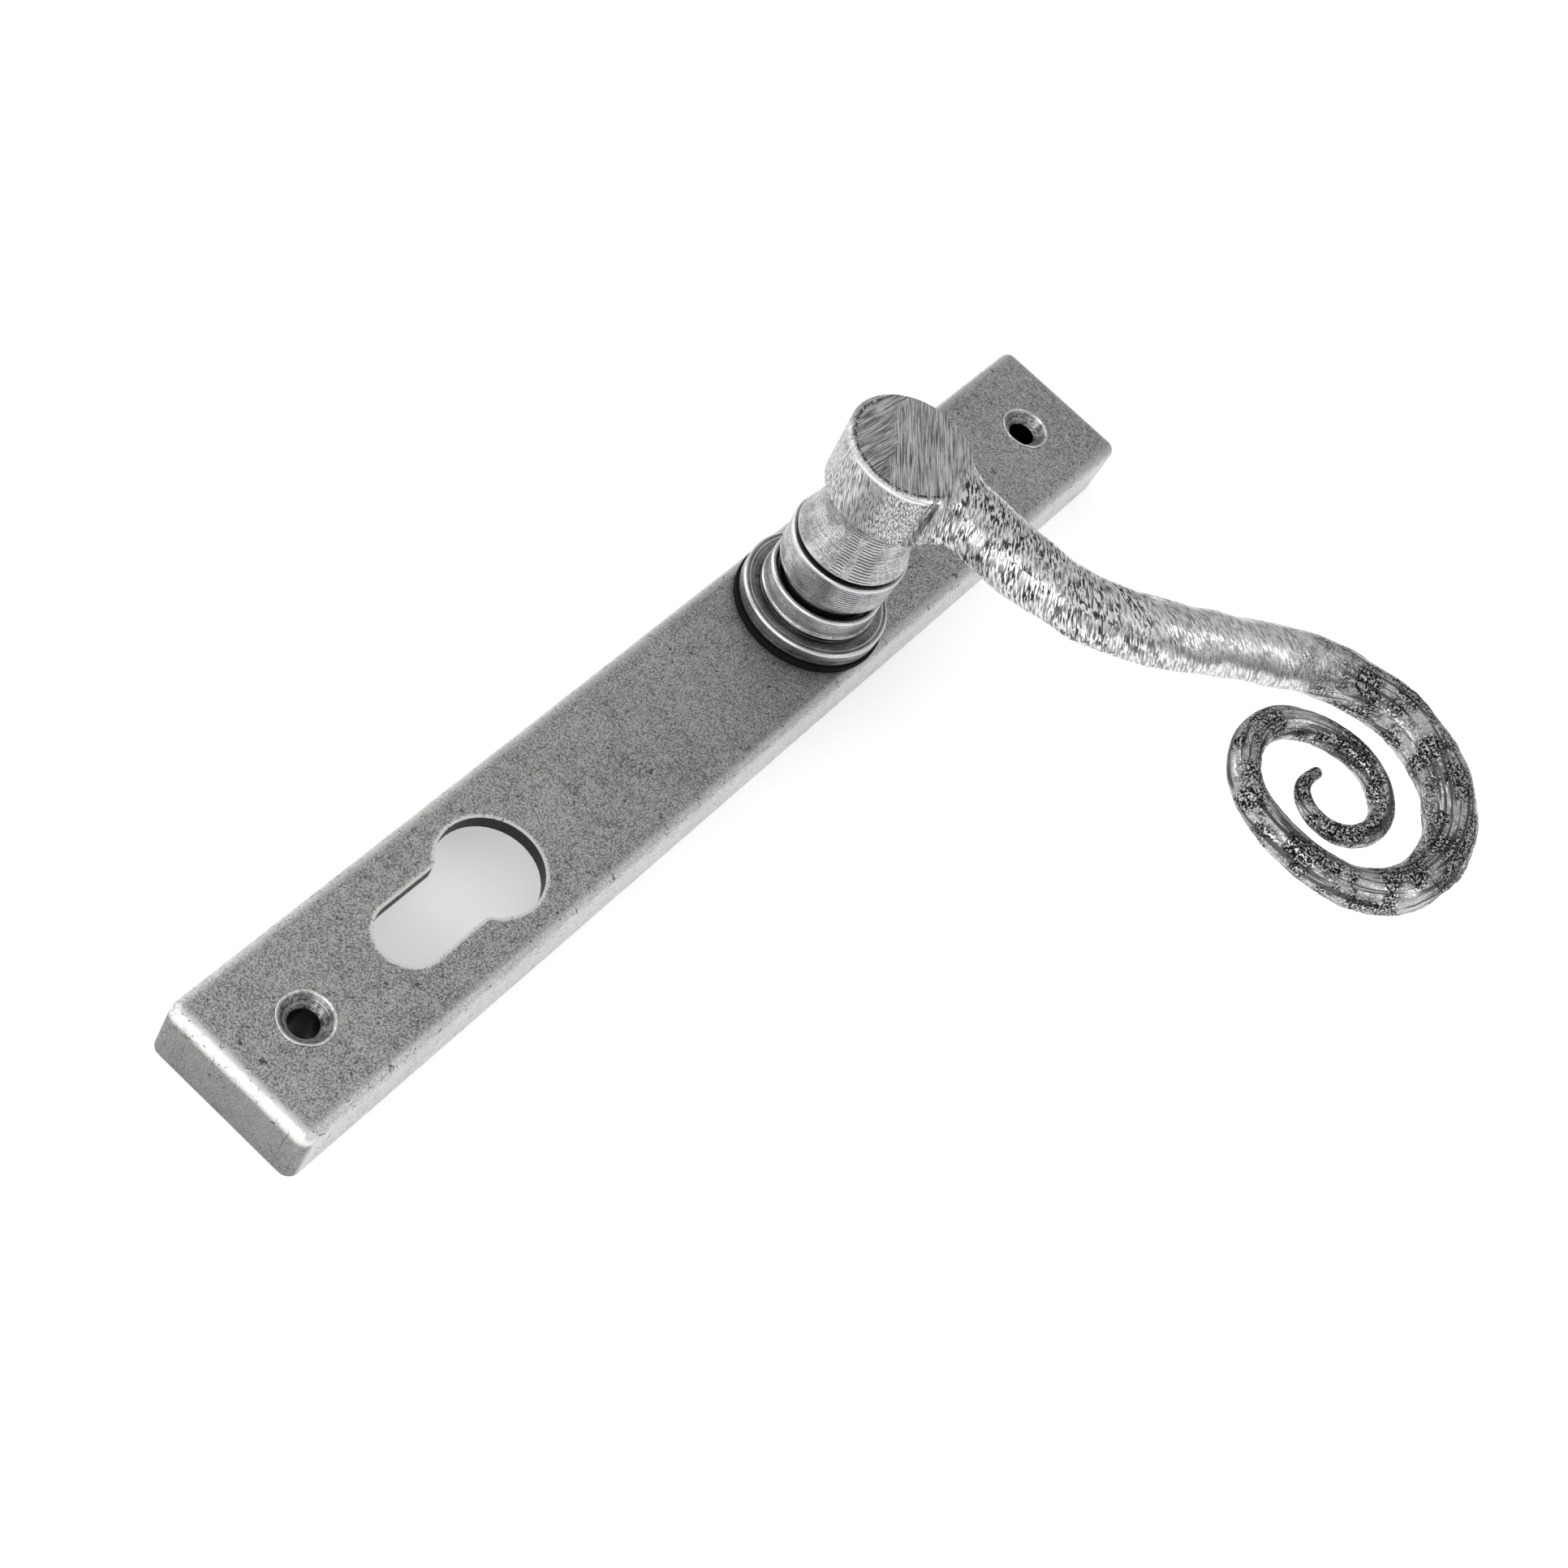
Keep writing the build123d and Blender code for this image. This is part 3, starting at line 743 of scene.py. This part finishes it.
def forged_finish():
    f = Finish("hand_forged_steel_filed_and_patinated")
    n = f.node
    uv = n("UVMap", uv_map="surface")
    s = n("SeparateXYZ", uv)
    cloud = f.marks(f.spot, (4.0, 4.0, 4.0))
    filed, worn_rim_and_highlight, dashes = filed_disc(f, s, cloud)
    to_grip = n("MapRange.SMOOTHSTEP", n("Math.MULTIPLY_ADD", cloud, 6.0, s), 23.0, 28.0)
    to_scroll = n("MapRange.SMOOTHSTEP", n("Math.MULTIPLY_ADD", cloud, 24.0, s), 102.0, 118.0)
    dark = n("MapRange.LINEAR", to_grip, 0.0, 1.0, filed, flecked_grip(f, uv, s, cloud))
    dark = n("MapRange.LINEAR", to_scroll, 0.0, 1.0, dark, pitted_scroll(f, uv))
    deep = n("Math.MULTIPLY", to_grip, n("MapRange.LINEAR", to_scroll, 0.0, 1.0, 0.7, 1.0))
    shade = n("MixRGB", deep, colour("#58595b"), colour("#161618"))
    bright = n("MixRGB", to_grip, colour("#d2d3d4"), colour("#e6e7e8"))
    bright = n("MixRGB", to_scroll, bright, colour("#cfd0d1"))
    base = n("MixRGB", dark, bright, shade)
    # painted highlight on the worn rim of the disc
    base = n("MixRGB", worn_rim_and_highlight, base, colour("#ececec"))
    # painted shade in the fold beside the disc
    fold = n("Math.MULTIPLY", painted_fold_shade(f, cloud), 0.85)
    black = n("Math.MAXIMUM", n("Math.MULTIPLY", dashes, 0.8), fold)
    base = n("MixRGB", black, base, colour("#202022"))
    rough = n("MapRange.LINEAR", dark, 0.0, 1.0, 0.28, 0.52)
    return f.done(base, rough, n("Math.SUBTRACT", 1.0, dark), 0.07)


# %% [markdown]
# Pressed steel with a pewter patina. The eye sees an even grey with a fine sandy speckle, a few small
# dings and hair scratches, and every outer edge rubbed a little brighter. The bright bands are worked out
# from the distance to the plate's edges and to the cylinder opening, so they follow the real corners.
# Painted
# light is added too: the side walls get lighter tones as a painted reflection of the card, the lower end
# wall is painted darker as painted shade, the fillet at the lower end and the lip of the opening carry
# painted highlights, and the wall inside the opening is painted shade.

# %% Pewter plate
SPECKLE_MM = 0.30
WEAR_MM = 2.4
OPENING_Y = -92.0
OPENING_R = 9.7
LEG_R = 6.1
LEG_END_Y = -112.4
SCRATCH_TURN = 24


def rubbed_band_and_fillet_highlight(f, low, high, speckle, mid):
    """Masks of the rubbed band along the plate's edges and of the painted highlight on the fillet at its
    lower end.
    """
    n = f.node
    middle = (low + high) / 2
    half = (high - low) / 2
    apart = n("VectorMath.ABSOLUTE", n("VectorMath.SUBTRACT", f.spot, tuple(middle.tolist())))
    apart_x, apart_y = n("SeparateXYZ", apart).node.outputs[:2]
    over = n("Math.MAXIMUM", n("Math.SUBTRACT", apart_x, half[0]), n("Math.SUBTRACT", apart_y, half[1]))
    over = f.total((1.0, over), (1.2, mid), (2.4, speckle))
    band = n("MapRange.SMOOTHSTEP", over, 1.8 - WEAR_MM, 1.8 - 0.35 * WEAR_MM)
    # foot: painted highlight along the fillet at the plate's lower end
    foot = n("MapRange.SMOOTHSTEP", f.total((1.0, f.y), (1.5, mid)), low[1] + 3.6, low[1] + 1.8)
    high_up = n("MapRange.SMOOTHSTEP", f.z, high[2] - 3.0, high[2] - 1.2)
    return band, n("Math.MULTIPLY", foot, high_up)


def opening_edges(f, top, speckle):
    """Masks of the painted highlight on the lip round the opening and of the painted shade on the wall
    inside it.

    The opening is a round hole with a straight leg, so the distance to its outline is the smaller of the
    distances to a circle and to a line with round ends.
    """
    n = f.node
    along = n("Math.MAXIMUM", n("Math.MINIMUM", f.y, OPENING_Y), LEG_END_Y)
    flat = n("CombineXYZ", f.x, n("Math.SUBTRACT", f.y, OPENING_Y), 0.0)
    leg = n("CombineXYZ", f.x, n("Math.SUBTRACT", f.y, along), 0.0)
    to_round = n("Math.SUBTRACT", n("VectorMath.LENGTH", flat, out=1), OPENING_R)
    to_leg = n("Math.SUBTRACT", n("VectorMath.LENGTH", leg, out=1), LEG_R)
    edge = f.total((1.0, n("Math.MINIMUM", to_round, to_leg)), (0.8, speckle))
    # lip: painted highlight round the opening's top edge
    lip = n("MapRange.SMOOTHSTEP", edge, 1.3, 0.7)
    lip = n("Math.MULTIPLY", lip, n("MapRange.SMOOTHSTEP", f.z, top - 1.0, top - 0.2))
    # inside: painted shade on the wall inside the opening
    inside = n("MapRange.SMOOTHSTEP", edge, 1.0, 0.7)
    return lip, n("Math.MULTIPLY", inside, n("MapRange.SMOOTHSTEP", f.z, top - 0.05, top - 0.3))


def small_flaws(f):
    """Small dings, curly hair lines and straight scratches."""
    n = f.node
    dings = f.marks(f.spot, (1.1, 1.1, 1.1), 0.69, 0.72, 1.0, 0.5, 1.2)
    hair = n("Math.COMPARE", f.marks(f.spot, (3.4, 3.4, 3.4), detail=1.0, distort=1.0), 0.5, 0.010)
    hair = n("Math.MULTIPLY", hair, f.marks(f.spot, (6.0, 6.0, 6.0), 0.56, 0.60))
    skew = n("VectorRotate.Z_AXIS", f.spot, Angle=math.radians(SCRATCH_TURN))
    scratch = f.marks(skew, (7.0, 0.2, 7.0), 0.68, 0.72)
    return n("Math.MAXIMUM", dings, n("Math.MULTIPLY", n("Math.MAXIMUM", hair, scratch), 0.7))


def plate_finish():
    f = Finish("pressed_steel_with_pewter_patina")
    n = f.node
    low, high = corners("backplate")
    top = high[2]
    speckle = f.marks(f.spot, (SPECKLE_MM,) * 3, detail=3.0, rough=0.7)
    mid = f.marks(f.spot, (2.2, 2.2, 2.2), detail=3.0, rough=0.6)
    broad = f.marks(f.spot, (18.0, 18.0, 18.0))
    band, foot = rubbed_band_and_fillet_highlight(f, low, high, speckle, mid)
    lip, inside = opening_edges(f, top, speckle)
    flaws = small_flaws(f)

    dark = n("MapRange.SMOOTHSTEP", f.total((0.80, speckle), (0.12, mid), (0.08, broad)), 0.41, 0.60)
    # wall: the side walls get lighter tones than the top, a painted reflection of the card
    wall = n("MapRange.SMOOTHSTEP", f.z, top - 1.2, top - 3.2)
    light = n("MixRGB", wall, colour("#c4c5c2"), colour("#cbccc9"))
    shade = n("MixRGB", wall, colour("#747572"), colour("#949592"))
    base = n("MixRGB", dark, light, shade)
    rubbed = n("MixRGB", dark, colour("#dfe0de"), colour("#b4b5b3"))
    base = n("MixRGB", n("Math.MULTIPLY", band, 0.8), base, rubbed)
    # end: painted shade, the lower end wall is given darker tones
    end = n("Math.MULTIPLY", n("MapRange.SMOOTHSTEP", f.y, low[1] + 2.4, low[1] + 1.0), wall)
    base = n("MixRGB", end, base, n("MixRGB", dark, colour("#969794"), colour("#666764")))
    # painted highlights on the end fillet and round the opening
    bright = n("Math.MAXIMUM", n("Math.MULTIPLY", foot, 0.65), n("Math.MULTIPLY", lip, 0.85))
    base = n("MixRGB", bright, base, colour("#ececea"))
    # small flaws, and painted shade inside the opening
    black = n("Math.MAXIMUM", n("Math.MULTIPLY", flaws, 0.75), inside)
    base = n("MixRGB", black, base, colour("#3a3a39"))
    rough = n("MapRange.LINEAR", dark, 0.0, 1.0, 0.44, 0.58)
    rough = n("MapRange.LINEAR", band, 0.0, 1.0, rough, 0.40)
    return f.done(base, rough, f.total((0.9, speckle), (0.4, mid), (-0.9, flaws)), 0.09)


# %% [markdown]
# The collar is turned and polished. The tool leaves hair-fine rings that draw the light into a line round
# it. Its edges carry painted highlights, a second bright line on the flange top is a painted highlight too,
# the groove is painted shade, and patina stays on the flange. The map's first coordinate runs along the
# profile, so the rings follow it.

# %% Collar steel
RING_MM = 0.20


def collar_finish():
    f = Finish("turned_and_polished_collar_steel")
    n = f.node
    radius = f.from_axis()
    rings = f.marks(n("UVMap", uv_map="surface"), (RING_MM, 60.0, 1.0), rough=0.6)
    fine = f.marks(f.spot, (0.5, 0.5, 0.5), rough=0.6)
    patch = f.marks(f.spot, (3.0, 3.0, 3.0))
    part = n("MapRange.SMOOTHSTEP", f.total((0.60, rings), (0.22, fine), (0.18, patch)), 0.42, 0.64)
    outside = n("MapRange.SMOOTHSTEP", radius, GROOVE_R + 0.2, GROOVE_R + 0.5)
    below = n("MapRange.SMOOTHSTEP", f.z, FLANGE_TOP + 0.4, FLANGE_TOP + 0.1)
    on_flange = n("Math.MULTIPLY", outside, below)
    # edge, rim and line: painted highlights on the flange's outer edge, the ring's top edge and a line on
    # the flange top
    edge = n("MapRange.SMOOTHSTEP", f.total((1.0, radius), (0.3, fine)), FLANGE - 0.45, FLANGE - 0.2)
    edge = n("Math.MULTIPLY", edge, n("MapRange.SMOOTHSTEP", f.z, FLANGE_TOP - 0.7, FLANGE_TOP - 0.4))
    rim = n("MapRange.SMOOTHSTEP", f.z, RING_TOP - 0.6, RING_TOP - 0.3)
    line = n("Math.COMPARE", radius, FLANGE - 1.15, 0.14)
    line = n("Math.MULTIPLY", line, n("Math.GREATER_THAN", f.z, FLANGE_TOP - 0.7))
    # painted shade in the groove between flange and ring
    groove_shade = n("Math.COMPARE", radius, GROOVE_R + 0.2, 0.28)
    groove_shade = n("Math.MULTIPLY", groove_shade, n("Math.COMPARE", f.z, FLANGE_TOP + 0.2, 0.5))
    bright = n("MixRGB", on_flange, colour("#d2d2d3"), colour("#8d8d8e"))
    shade = n("MixRGB", on_flange, colour("#5c5c5e"), colour("#2a2a2b"))
    base = n("MixRGB", part, bright, shade)
    # painted highlights in white on the edges, then a second line on the flange top
    base = n("MixRGB", n("Math.MULTIPLY", n("Math.MAXIMUM", edge, rim), 0.8), base, colour("#f0f0f0"))
    base = n("MixRGB", n("Math.MULTIPLY", line, 0.6), base, colour("#e0e0e0"))
    # painted shade: the groove painted near black
    base = n("MixRGB", n("Math.MULTIPLY", groove_shade, 0.85), base, colour("#141415"))
    rough = n("MapRange.LINEAR", part, 0.0, 1.0, 0.20, 0.34)
    return f.done(base, rough, n("Math.SUBTRACT", 1.0, part), 0.02)


# %% [markdown]
# The neck and the band under it are turned too, but rubbed smooth, with strips of fine file marks left
# running up them. Close light bars across a strip are what the eye takes for hatching. Painted light is
# added as well: painted shade on the neck under the disc and in the groove above the band, and a painted
# highlight along the band's top edge.

# %% Neck steel
HATCH_PLACES = ((-74.0, 7.0), (-50.0, 13.0))
HATCH_MM = 0.62
GROOVE_LOW = 34.0
GROOVE_TOP = 34.9


def hatched_strips(f, patch):
    """Mask of the strips: each is an angle about the axis and half its width, in degrees."""
    n = f.node
    angle = n("Math.ARCTAN2", f.y, f.x)
    strips = 0.0
    for place, width in HATCH_PLACES:
        away = n("Math.ABSOLUTE", n("Math.SUBTRACT", angle, math.radians(place)))
        away = f.total((1.0, away), (0.10, patch))
        strip = n("MapRange.SMOOTHSTEP", away, math.radians(width) + 0.05, math.radians(width * 0.7) + 0.05)
        strips = n("Math.MAXIMUM", strips, strip)
    return strips


def neck_finish():
    f = Finish("turned_neck_steel_with_file_marks")
    n = f.node
    rings = f.marks(n("UVMap", uv_map="surface"), (0.22, 30.0, 1.0), rough=0.6)
    patch = f.marks(f.spot, (3.0, 3.0, 3.0), detail=3.0)
    fine = f.marks(f.spot, (0.34, 0.34, 0.34), rough=0.6)
    strips = hatched_strips(f, patch)
    phase = f.total((2 * math.pi / HATCH_MM, f.z), (5.0, patch), (2.5, fine))
    bars = n("MapRange.SMOOTHSTEP", n("Math.SINE", phase), -0.3, 0.6)
    tone = n("MapRange.SMOOTHSTEP", f.total((0.40, rings), (0.20, patch), (0.40, fine)), 0.41, 0.60)
    part = n("Math.MULTIPLY", tone, n("MapRange.LINEAR", strips, 0.0, 1.0, 0.75, 0.3))
    part = n("Math.MAXIMUM", part, n("Math.MULTIPLY", n("Math.MULTIPLY", bars, strips), 0.9))
    base = n("MixRGB", part, colour("#cbccce"), colour("#4c4d4f"))
    # random darker patches
    dark_patches = n("Math.MULTIPLY", f.marks(f.spot, (5.0, 5.0, 5.0), 0.46, 0.62), 0.3)
    base = n("MixRGB", dark_patches, base, colour("#3b3b3d"))
    # painted shade on the neck under the disc
    shade_under_disc = n("MapRange.SMOOTHSTEP", f.total((1.0, f.z), (4.0, patch), (-0.2, f.x)), 44.5, 49.5)
    base = n("MixRGB", n("Math.MULTIPLY", shade_under_disc, 0.6), base, colour("#2c2c2e"))
    # painted highlight along the band's top edge
    lip = n("Math.COMPARE", f.total((1.0, f.z), (0.5, fine)), band_high[2] - 0.1, 0.4)
    base = n("MixRGB", n("Math.MULTIPLY", lip, 0.7), base, colour("#eeeeee"))
    # painted shade in the groove above the band
    groove_shade = n("Math.COMPARE", f.z, (GROOVE_LOW + GROOVE_TOP) / 2, (GROOVE_TOP - GROOVE_LOW) / 2)
    above_band = n("MapRange.SMOOTHSTEP", f.z, GROOVE_LOW + 0.05, GROOVE_LOW + 0.15)
    base = n("MixRGB", n("Math.MULTIPLY", groove_shade, above_band), base, colour("#0e0e0f"))
    rough = n("MapRange.LINEAR", part, 0.0, 1.0, 0.27, 0.44)
    return f.done(base, rough, n("Math.SUBTRACT", 1.0, part), 0.025)


# %% [markdown]
# The screw sockets are turned and darkened: a bright thin rim that is a painted highlight, a dark ringed
# cone, and a hole painted black as painted shade.

# %% Socket steel
RIM_MM = 0.12


def socket_finish():
    f = Finish("turned_and_blackened_socket_steel")
    n = f.node
    top = corners("upper_screw_pillar")[1][2]
    rings = f.marks(n("UVMap", uv_map="surface"), (0.16, 20.0, 1.0), rough=0.6)
    wear = f.marks(f.spot, (0.6, 0.6, 0.6), detail=3.0, rough=0.6)
    # rim: painted highlight on the socket's top edge; the hole below is painted black as painted shade
    rim = n("MapRange.SMOOTHSTEP", f.z, top - 3.0 * RIM_MM, top - 1.5 * RIM_MM)
    hole_shade = n("MapRange.SMOOTHSTEP", f.z, top - 2.0, top - 2.4)
    tone = n("MapRange.SMOOTHSTEP", f.total((0.55, rings), (0.45, wear)), 0.38, 0.62)
    base = n("MixRGB", tone, colour("#b4b4b4"), colour("#3b3b3b"))
    # painted highlight, mottled, on the rim
    rim_highlight = n("MixRGB", n("MapRange.SMOOTHSTEP", wear, 0.3, 0.7), colour("#ededed"), colour("#b5b5b5"))
    base = n("MixRGB", rim, base, rim_highlight)
    base = n("MixRGB", hole_shade, base, colour("#0b0b0b"))
    return f.done(base, n("MapRange.LINEAR", rim, 0.0, 1.0, 0.28, 0.34), rings, 0.03)


# %% [markdown]
# The pieces inside are bought-in hardware: zinc-plated pressings, oiled spring steel and moulded nylon.
# Zinc shows soft grey spangle, spring steel is darker and slick, and nylon is black with a fine matt skin.

# %% Hardware finishes
def plain_finish(name, bright, dark, rough, size, relief, metallic=1.0):
    f = Finish(name)
    patch = f.marks(f.spot, (size,) * 3, 0.35, 0.68, 3.0, 0.6)
    base = f.node("MixRGB", patch, colour(bright), colour(dark))
    return f.done(base, f.node("MapRange.LINEAR", patch, 0.0, 1.0, *rough), patch, relief, metallic)


forged = forged_finish()
plate_steel = plate_finish()
neck_steel = neck_finish()
collar_steel = collar_finish()
socket_steel = socket_finish()
zinc = plain_finish("zinc_plated_steel", "#c9cbce", "#9a9da3", (0.28, 0.45), 1.2, 0.01)
spring_steel = plain_finish("oiled_spring_steel", "#6b6a68", "#38383a", (0.25, 0.4), 0.8, 0.01)
nylon = plain_finish("moulded_black_nylon", "#060606", "#101011", (0.75, 0.9), 0.6, 0.02, 0.0)
# matt nylon sends back little of the sky, so the washer stays a black line
nylon.node_tree.nodes["Principled BSDF"].inputs["Specular IOR Level"].default_value = 0.15

# %% [markdown]
# Each frame piece takes its finish through its own slots, so its mesh and its place stay as they came.

# %% Finishes on pieces
FRAME_FINISH = {
    plate_steel: ["backplate"],
    zinc: ["cassette_bracket", "spring_post", "cover_post", "spring_cover", "cover_screws",
           "left_stop_pin", "right_stop_pin", "drive_hub"],
    spring_steel: ["return_spring", "thrust_washer", "circlip"],
    nylon: ["nylon_bush"],
}
for finish, names in FRAME_FINISH.items():
    for name in names:
        for place in nodes[name].material_slots:
            place.material = finish
PIECE_FINISH = {
    forged: [forging],
    neck_steel: [neck, band],
    collar_steel: [collar],
    socket_steel: [upper_socket, lower_socket],
    nylon: [washer],
}
for finish, pieces in PIECE_FINISH.items():
    for piece in pieces:
        piece.data.materials.append(finish)
print("finishes:", len(bpy.data.materials))

# %% [markdown]
# Polished metal shows its surroundings more than itself. So the studio is a pale card lit from within,
# under a sky that is bright overhead and dim at the horizon.

# %% Card
CARD_GLOW = 0.34
bpy.ops.mesh.primitive_plane_add(size=6.0, location=(0, 0, -0.0001))
card = bpy.context.object
card.name = "card"
f = Finish("white_card")
paper = f.marks(f.spot, (40.0, 40.0, 40.0))
tint = f.node("MixRGB", paper, colour("#f4f4f4"), colour("#f8f8f8"))
f.done(tint, f.node("MapRange.LINEAR", paper, 0.0, 1.0, 0.85, 0.95), metallic=0.0)
f.shader.inputs["Specular IOR Level"].default_value = 0.1
f.shader.inputs["Emission Color"].default_value = (1, 1, 1, 1)
f.shader.inputs["Emission Strength"].default_value = CARD_GLOW
card.data.materials.append(f.material)


# %% [markdown]
# Three soft panels: a long low one in front for the streak along the bar, and a weak one on each side.

# %% Panels and sky
def panel(name, at, width, height, watts):
    """A soft rectangular light at a place, facing the object, in metres."""
    light = bpy.data.lights.new(name, "AREA")
    light.shape = "RECTANGLE"
    light.size = width
    light.size_y = height
    light.energy = watts
    lamp = bpy.data.objects.new(name, light)
    at = np.array(at, float)
    away = at - AIM
    away /= np.linalg.norm(away)
    across = np.cross((0, 0, 1.0), away)
    across /= np.linalg.norm(across)
    axes = np.column_stack([across, np.cross(away, across), away, at])
    lamp.matrix_world = Matrix(axes.tolist() + [[0, 0, 0, 1]])
    bpy.context.scene.collection.objects.link(lamp)


AIM = np.array([0.04, -0.03, 0.03])
PANELS = {
    "front_panel": ((-0.15, -1.0, 0.45), 1.3, 0.50, 7.0),
    "left_panel": ((-0.95, 0.0, 0.60), 0.5, 0.7, 2.6),
    "right_panel": ((0.9, 0.2, 0.8), 0.5, 0.7, 2.0),
}
for name, setting in PANELS.items():
    panel(name, *setting)

SKY_LOW = 0.34
SKY_HIGH = 0.72
world = bpy.data.worlds.new("studio")
bpy.context.scene.world = world
world.use_nodes = True
tree = world.node_tree
up = add(tree, "SeparateXYZ", add(tree, "TexCoord"), out=2)
sky = add(tree, "MapRange.LINEAR", up, 0.0, 0.8, SKY_LOW, SKY_HIGH)
tree.links.new(sky, tree.nodes["Background"].inputs["Strength"])
tree.nodes["Background"].inputs["Color"].default_value = (1, 1, 1, 1)
bpy.context.scene.view_settings.view_transform = "Standard"

# %% [markdown]
# The camera looks down at about fifty degrees and is rolled, so that the plate runs up to the right.

# %% Camera
ELEVATION = math.radians(49.38)
AZIMUTH = math.radians(10.09)
ROLL = math.radians(35.4)
PLACE = np.array([0.0803, -0.3622, 0.4001])
LENS_MM = 65.8
forward = np.array([
    -math.cos(ELEVATION) * math.sin(AZIMUTH),
    math.cos(ELEVATION) * math.cos(AZIMUTH),
    -math.sin(ELEVATION),
])
level = np.cross(forward, (0, 0, 1.0))
level /= np.linalg.norm(level)
right = math.cos(ROLL) * level + math.sin(ROLL) * np.cross(level, forward)
axes = np.column_stack([right, np.cross(right, forward), -forward, PLACE])
lens = bpy.data.cameras.new("camera")
lens.sensor_width = 36.0
lens.lens = LENS_MM
lens.clip_start = 0.01
camera = bpy.data.objects.new("camera", lens)
bpy.context.scene.collection.objects.link(camera)
camera.matrix_world = Matrix(axes.tolist() + [[0, 0, 0, 1]])
bpy.context.scene.camera = camera
